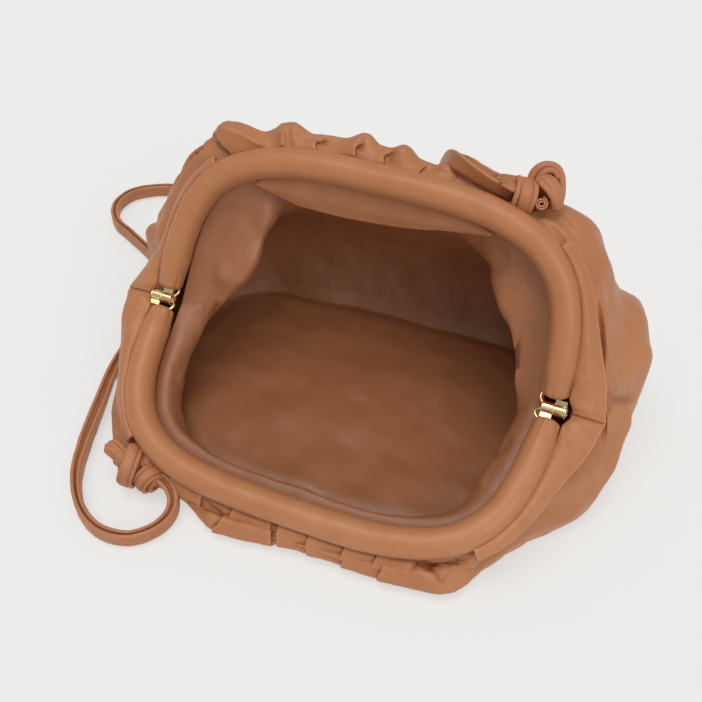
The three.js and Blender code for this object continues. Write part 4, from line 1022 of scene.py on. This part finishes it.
def blob(centre, radii, axis_x, seed, rows=40, cols=56):
    """Uneven rounded lump: the strap packed inside a knot."""
    ax = unit(axis_x)
    az = unit(np.array([0, 0, 1.0]) - ax[2] * ax)
    ay = np.cross(az, ax)
    th, ph = np.linspace(0.03, math.pi - 0.03, rows), np.arange(cols) / cols * 2 * math.pi
    T, F = np.meshgrid(th, ph, indexing="ij")
    d = np.cos(T)[..., None] * ax + (np.sin(T) * np.cos(F))[..., None] * ay + (np.sin(T) * np.sin(F))[..., None] * az
    s = np.cos(T)[..., None] * ax * radii[0] + (np.sin(T) * np.cos(F))[..., None] * ay * radii[1] + (np.sin(T) * np.sin(F))[..., None] * az * radii[2]
    s = s + d * (0.3 * waves(s + centre, 7, seed))[..., None]
    P = np.asarray(centre, float) + s
    v = np.vstack([P.reshape(-1, 3), P[0].mean(0), P[-1].mean(0)])
    f = grid_faces(rows, cols)
    for j in range(cols):
        k = (j + 1) % cols
        f += [(j, k, rows * cols), ((rows - 1) * cols + k, (rows - 1) * cols + j, rows * cols + 1)]
    # Painted shade over the whole lump, which sits in the knot's hollow.
    return v, outward(v, f), np.zeros(len(v)), np.full(len(v), 0.35)


def roll(points, radii, seed=0, flutes=0, depth=0.0, n=54, m=40):
    """Rounded strand through points, with a blunt round tip at its far end."""
    p = catmull(np.asarray(points, float), np.linspace(0, 1, n))
    at = np.linspace(0, 1, n)
    r = np.interp(at, np.linspace(0, 1, len(radii)), radii)
    r = r * np.sqrt(np.clip(1 - np.clip((at - 0.88) / 0.12, 0, 1) ** 2, 0.03, 1))
    tang = unit(np.gradient(p, axis=0))
    s = unit(np.cross(tang, TO_EYE))
    u = np.cross(s, tang)
    q = np.arange(m) / m * 2 * math.pi
    flute = 1 - depth * np.abs(np.sin(q[None, :] * flutes / 2 + at[:, None] * 0.8 + seed)) ** 0.7 if flutes else np.ones((n, m))
    sec = (np.cos(q)[None, :, None] * s[:, None, :] + np.sin(q)[None, :, None] * u[:, None, :]) * (r[:, None] * flute)[..., None]
    sec = sec * (1 + 0.04 * waves(p[:, None, :] + sec, 6, 131 + seed))[..., None]
    v, f = sweep(p, sec)
    # Painted shade in the hollows between the flutes.
    painted_shade = np.concatenate([(np.clip((1 - flute) / depth, 0, 1) ** 3 * 0.8).ravel(), [0, 0]]) if flutes else np.zeros(len(v))
    return v, f, np.zeros(len(v)), painted_shade


def make_knots():
    def tools(middle, centre, scale):
        def place(points):
            return drawn(points, middle, centre, scale)

        def ring(points, width, thick, grooves=(), n=84):
            ctrl = place(points)
            p = loop_through(ctrl, n)
            return ribbon(p, unit(p - ctrl.mean(0)), width, thick, grooves)

        def strip(points, width, thick, grooves=(), lean=(0, 0, 1.0), n=60, taper=0.0):
            p = catmull(place(points), np.linspace(0, 1, n))
            look = lean[0] * EYE_RIGHT + lean[1] * EYE_UP + lean[2] * TO_EYE
            return ribbon(p, np.tile(look, (n, 1)), width, thick, grooves, taper=taper)

        def strand(points, radii, **more):
            return roll(place(points), radii, **more)
        return place, ring, strip, strand

    # low knot, in front on the left
    place, ring, strip, strand = tools((376, 370), (-76, -71.5, 12.2), 19.32)
    mid = place([(300, 345, -0.5), (455, 430, -0.5)])
    axis = unit(mid[1] - mid[0])
    parts = [
        blob(mid[0], (6.0, 6.6, 7.2), axis, 111), blob(mid[1], (6.0, 5.6, 6.6), axis, 113),
        strip([(345, 130, -4), (405, 215, 0.5), (452, 300, 2.6), (478, 360, 3)], 6.6, 2.6, [(0.2, 0.5)], lean=(0.2, 0.4, 0.9)),
        ring([(352, 168, 2.2), (338, 240, 5.9), (306, 340, 7.6), (270, 430, 6.4), (246, 492, 2.2), (256, 500, -4.2), (310, 350, -6.6), (350, 210, -3.6)],
             7.6, 2.7, [(-0.25, 0.8)]),
        ring([(584, 352, 1.6), (540, 366, 4.9), (470, 402, 7.3), (412, 462, 6.6), (382, 520, 2.6), (400, 528, -3.8), (480, 430, -6.0), (560, 360, -2.6)],
             8.0, 2.7, [(-0.30, 0.8), (0.27, 0.7)]),
        ring([(632, 398, 1.4), (575, 420, 3.9), (516, 458, 4.9), (478, 520, 3.3), (474, 552, 0.6), (500, 540, -3.6), (580, 450, -4.6), (630, 402, -2.2)],
             3.0, 2.4, []),
        strand([(290, 330, 1), (235, 262, 3.0), (170, 190, 2.4), (112, 150, 1.0)], [4.0, 3.9, 3.9, 3.8], seed=1),
        strand([(300, 240, 3.4), (262, 196, 4.2), (205, 140, 3.8), (140, 104, 2.6)], [1.5, 1.5, 1.5, 1.5], seed=2),
        strand([(285, 280, 4.2), (240, 226, 5.4), (180, 162, 5.2), (112, 118, 3.6)], [1.4, 1.5, 1.5, 1.5], seed=3),
        strand([(270, 310, 4.0), (215, 246, 5.6), (150, 186, 5.2), (84, 142, 3.4)], [1.4, 1.5, 1.6, 1.6], seed=4),
        strand([(262, 345, 3.0), (205, 284, 4.2), (138, 222, 4.0), (76, 176, 2.4)], [1.4, 1.6, 1.7, 1.8], seed=5),
        strand([(262, 385, 1.0), (215, 330, 2.0), (178, 300, 1.6), (160, 290, 1.0)], [1.6, 1.7, 1.7, 1.6], seed=6),
        strand([(262, 420, -0.5), (225, 372, 0.6), (196, 350, 0.4)], [1.6, 1.6, 1.5], seed=7),
        strand([(520, 425, -1.5), (560, 448, 0.0), (600, 476, 0.4), (628, 505, 0.0)], [3.6, 3.5, 3.2, 2.6], seed=8, flutes=4, depth=0.12),
    ]
    v, f, w, d = join_parts(parts)
    low = make("knot_low", v, f, STRAP_LEATHER, ("knot_front_left",), w, d)

    # high knot, behind on the right
    place, ring, strip, strand = tools((840, 427), (64, 53, 124), 20.96)
    core = place([(760, 452, -0.5), (968, 392, -0.8)])
    axis = unit(core[1] - core[0])
    parts = [
        blob(core[0], (4.6, 4.6, 6.2), axis, 121), blob(core[1], (4.6, 3.8, 7.0), axis, 123), blob(place([(958, 300, -0.6)])[0], (3.6, 2.6, 3.4), axis, 125),
        ring([(704, 306, 2.4), (698, 362, 5.0), (680, 440, 5.8), (660, 510, 4.4), (650, 552, 1.2), (656, 545, -3.6), (684, 430, -5.6), (706, 320, -2.6)], 2.5, 2.3, []),
        ring([(772, 322, 2.4), (768, 384, 6.0), (758, 455, 6.9), (744, 528, 5.7), (734, 592, 1.4), (738, 590, -3.6), (760, 450, -6.0), (774, 335, -2.6)], 5.6, 2.4, [(-0.42, 0.4)]),
        ring([(848, 340, 1.6), (846, 400, 4.6), (832, 474, 5.6), (808, 552, 4.2), (790, 604, 1.0), (796, 596, -3.2), (832, 470, -5.2), (850, 350, -2.4)], 2.5, 2.3, []),
        # where the strap spreads into the wrap
        strip([(520, 286, -0.6), (600, 300, 1.4), (670, 318, 2.4), (740, 330, 1.0)], 3.4, 2.2, [(-0.2, 0.5), (0.2, 0.5)], lean=(0, 0.7, 0.8)),
        strip([(548, 322, 1.6), (610, 352, 3.4), (668, 384, 3.8), (720, 404, 2.4)], 2.6, 2.0, [(0.0, 0.5)], lean=(0, 0.4, 0.9)),
        strip([(560, 362, 2.0), (615, 398, 3.8), (660, 424, 4.0), (715, 446, 2.4)], 2.4, 2.0, [], lean=(0, 0.2, 1.0)),
        # loop: outer strand, inner strand, wide face and the lip beside it
        strip([(842, 352, -0.5), (838, 284, 0.6), (884, 226, 1.8), (960, 204, 2.4), (1032, 230, 2.2), (1070, 300, 1.6), (1076, 392, 1.2), (1070, 480, 0.6), (1036, 566, -0.6)],
              4.6, 4.2, [(0.24, 0.7)], lean=(0.0, 0.25, 1.0), n=96),
        strand([(872, 318, 2.6), (912, 262, 4.0), (972, 244, 4.4), (1022, 266, 4.2), (1046, 326, 3.4)], [1.2, 1.3, 1.3, 1.25, 1.1], seed=11),
        strip([(922, 290, 3.0), (975, 348, 4.9), (1020, 428, 5.3), (1046, 512, 4.0), (1044, 575, 1.6)], 5.4, 2.6, [], lean=(0.35, 0.1, 1.0)),
        strip([(862, 318, 3.0), (900, 374, 5.2), (950, 436, 6.2), (998, 506, 5.4), (1022, 578, 2.2)], 2.7, 2.6, [], lean=(-0.2, -0.1, 1.0)),
    ]
    # rolled end, seen end on, with its spiral
    tip = place([(892, 541, 4.6)])[0]
    turns, rows = np.linspace(0.6, 2 * math.pi * 2.2, 90), 8
    radius = 0.5 + 2.3 * turns / turns[-1]
    flat_pts = np.cos(turns)[:, None] * EYE_RIGHT * radius[:, None] + np.sin(turns)[:, None] * EYE_UP * radius[:, None]
    outw = unit(flat_pts)
    loop = np.concatenate([flat_pts + outw * 0.36, (flat_pts - outw * 0.36)[::-1]])
    P = tip + loop[None] + TO_EYE * np.linspace(-7.0, 0, rows)[:, None, None]
    m, half = loop.shape[0], len(turns)
    verts = P.reshape(-1, 3)
    faces = grid_faces(rows, m)
    for row, flip in ((0, False), (rows - 1, True)):
        base = row * m
        for i in range(half - 1):
            f = (base + i, base + i + 1, base + m - 2 - i, base + m - 1 - i)
            faces.append(tuple(reversed(f)) if flip else f)
    # Lighter cut end face; painted shade along the rolled sides.
    parts.append((verts, outward(verts, faces), np.concatenate([np.zeros((rows - 1) * m), np.full(m, 0.8)]), np.concatenate([np.full((rows - 1) * m, 0.4), np.zeros(m)])))
    v, f, w, d = join_parts(parts)
    high = make("knot_high", v, f, STRAP_LEATHER, ("knot_back_right",), w, d)
    return low, high


# ---------------------------------------------------------------- hinges
def make_hinges():
    for name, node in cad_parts.items():
        if name.startswith("hinge_"):
            node.data.materials.clear()
            node.data.materials.append(BRASS)
            bevel = node.modifiers.new("bevel", "BEVEL")
            bevel.width, bevel.segments, bevel.limit_method = 0.0003, 3, "ANGLE"
            bevel.angle_limit = math.radians(50)
    for side, x in (("right", HINGE_HALF + 0.6), ("left", -HINGE_HALF - 2.4)):
        inward = -1.0 if side == "right" else 1.0
        centre = np.array([x, 0, HINGE_Z])
        parts = []
        # spring wire that leaves the barrel and follows the tube's end
        wire = centre + np.array([[inward * 5.6, 1.2, 1.2], [inward * 7.0, 3.6, 2.6], [inward * 5.2, 6.2, 4.6], [inward * 0.5, 6.6, 6.4], [inward * -4.0, 5.4, 6.2]])
        low = centre + np.array([[inward * 5.8, -0.6, -0.6], [inward * 7.4, -3.0, -0.9], [inward * 6.4, -5.0, -1.6], [inward * 3.0, -6.2, -2.6]])
        for pts, r in ((wire, 0.62), (low, 0.62)):
            p = catmull(pts, np.linspace(0, 1, 60))
            t = unit(np.gradient(p, axis=0))
            s = unit(np.cross(t, np.array([0.3, 0.1, 1.0])))
            u = np.cross(s, t)
            q = np.arange(14) / 14 * 2 * math.pi
            sec = (np.cos(q)[None, :, None] * s[:, None, :] + np.sin(q)[None, :, None] * u[:, None, :]) * r
            v, f = sweep(p, sec)
            parts.append((v, f, np.zeros(len(v)), np.zeros(len(v))))
        # collars at the barrels' ends
        for at in (-5.15, -0.15, 5.15):
            q = np.arange(48) / 48 * 2 * math.pi
            pr = np.array([(-0.45, 2.7), (-0.3, 3.2), (0.0, 3.35), (0.3, 3.2), (0.45, 2.7), (0.0, 2.5)])
            P = np.array([[centre + [at + a, r * math.cos(b), r * math.sin(b)] for a, r in pr] for b in q])
            verts = P.reshape(-1, 3)
            faces = []
            for i in range(48):
                for j in range(len(pr)):
                    i2, j2 = (i + 1) % 48, (j + 1) % len(pr)
                    faces.append((i * len(pr) + j, i2 * len(pr) + j, i2 * len(pr) + j2, i * len(pr) + j2))
            parts.append((verts, outward(verts, faces), np.zeros(len(verts)), np.zeros(len(verts))))
        v, f, _, _ = join_parts(parts)
        make(f"hinge_{side}_spring", v, f, BRASS)


# ---------------------------------------------------------------- build
strap, route, strap_length = make_strap()
low_knot, high_knot = make_knots()
tuple(to_row(route[0]))
[tuple(q) for q in to_row(strap_route(400)).tolist()]
make_body()
make_lining()
make_tube("tube_front", True, "frame_front")
make_tube("tube_back", False, "frame_back")
make_tab("flap_front_right", True, True, "tab_front_right")
make_tab("flap_front_left", True, False, "tab_front_left")
make_tab("flap_back_right", False, True, "tab_back_right")
make_tab("flap_back_left", False, False, "tab_back_left")
make_facing()
make_hinges()


# ---------------------------------------------------------------- stage
def make_stage():
    mat, nt, bsdf = nodes_of("floor")
    bsdf.inputs["Base Color"].default_value = (0.33, 0.33, 0.327, 1)
    bsdf.inputs["Roughness"].default_value = 0.9
    bsdf.inputs["Specular IOR Level"].default_value = 0.0
    bsdf.inputs["Emission Color"].default_value = (1.0, 1.0, 0.985, 1)
    bsdf.inputs["Emission Strength"].default_value = 0.525
    me = bpy.data.meshes.new("floor")
    s = 6.0
    me.from_pydata([(-s, -s, 0), (s, -s, 0), (s, s, 0), (-s, s, 0)], [], [(0, 1, 2, 3)])
    me.materials.append(mat)
    ob = bpy.data.objects.new("floor", me)
    bpy.context.scene.collection.objects.link(ob)
    world = bpy.data.worlds.new("world")
    bpy.context.scene.world = world
    world.use_nodes = True
    bg = world.node_tree.nodes["Background"]
    bg.inputs[0].default_value = (1.0, 0.997, 0.99, 1)
    bg.inputs[1].default_value = 0.42

    def sun(name, towards, strength, spread, colour=(1, 1, 1)):
        data = bpy.data.lights.new(name, "SUN")
        data.energy, data.angle, data.color = strength, math.radians(spread), colour
        light = bpy.data.objects.new(name, data)
        bpy.context.scene.collection.objects.link(light)
        light.location = Vector(towards) * 2
        light.rotation_mode = "QUATERNION"
        light.rotation_quaternion = (-Vector(towards)).to_track_quat("-Z", "Y")

    sun("key", (-0.08, -0.16, 0.98), 1.27, 44, (1.0, 0.99, 0.975))
    sun("side", (0.60, -0.50, 0.62), 0.80, 34)
    scene = bpy.context.scene
    scene.view_settings.view_transform = "Standard"
    scene.view_settings.look = "None"


make_stage()
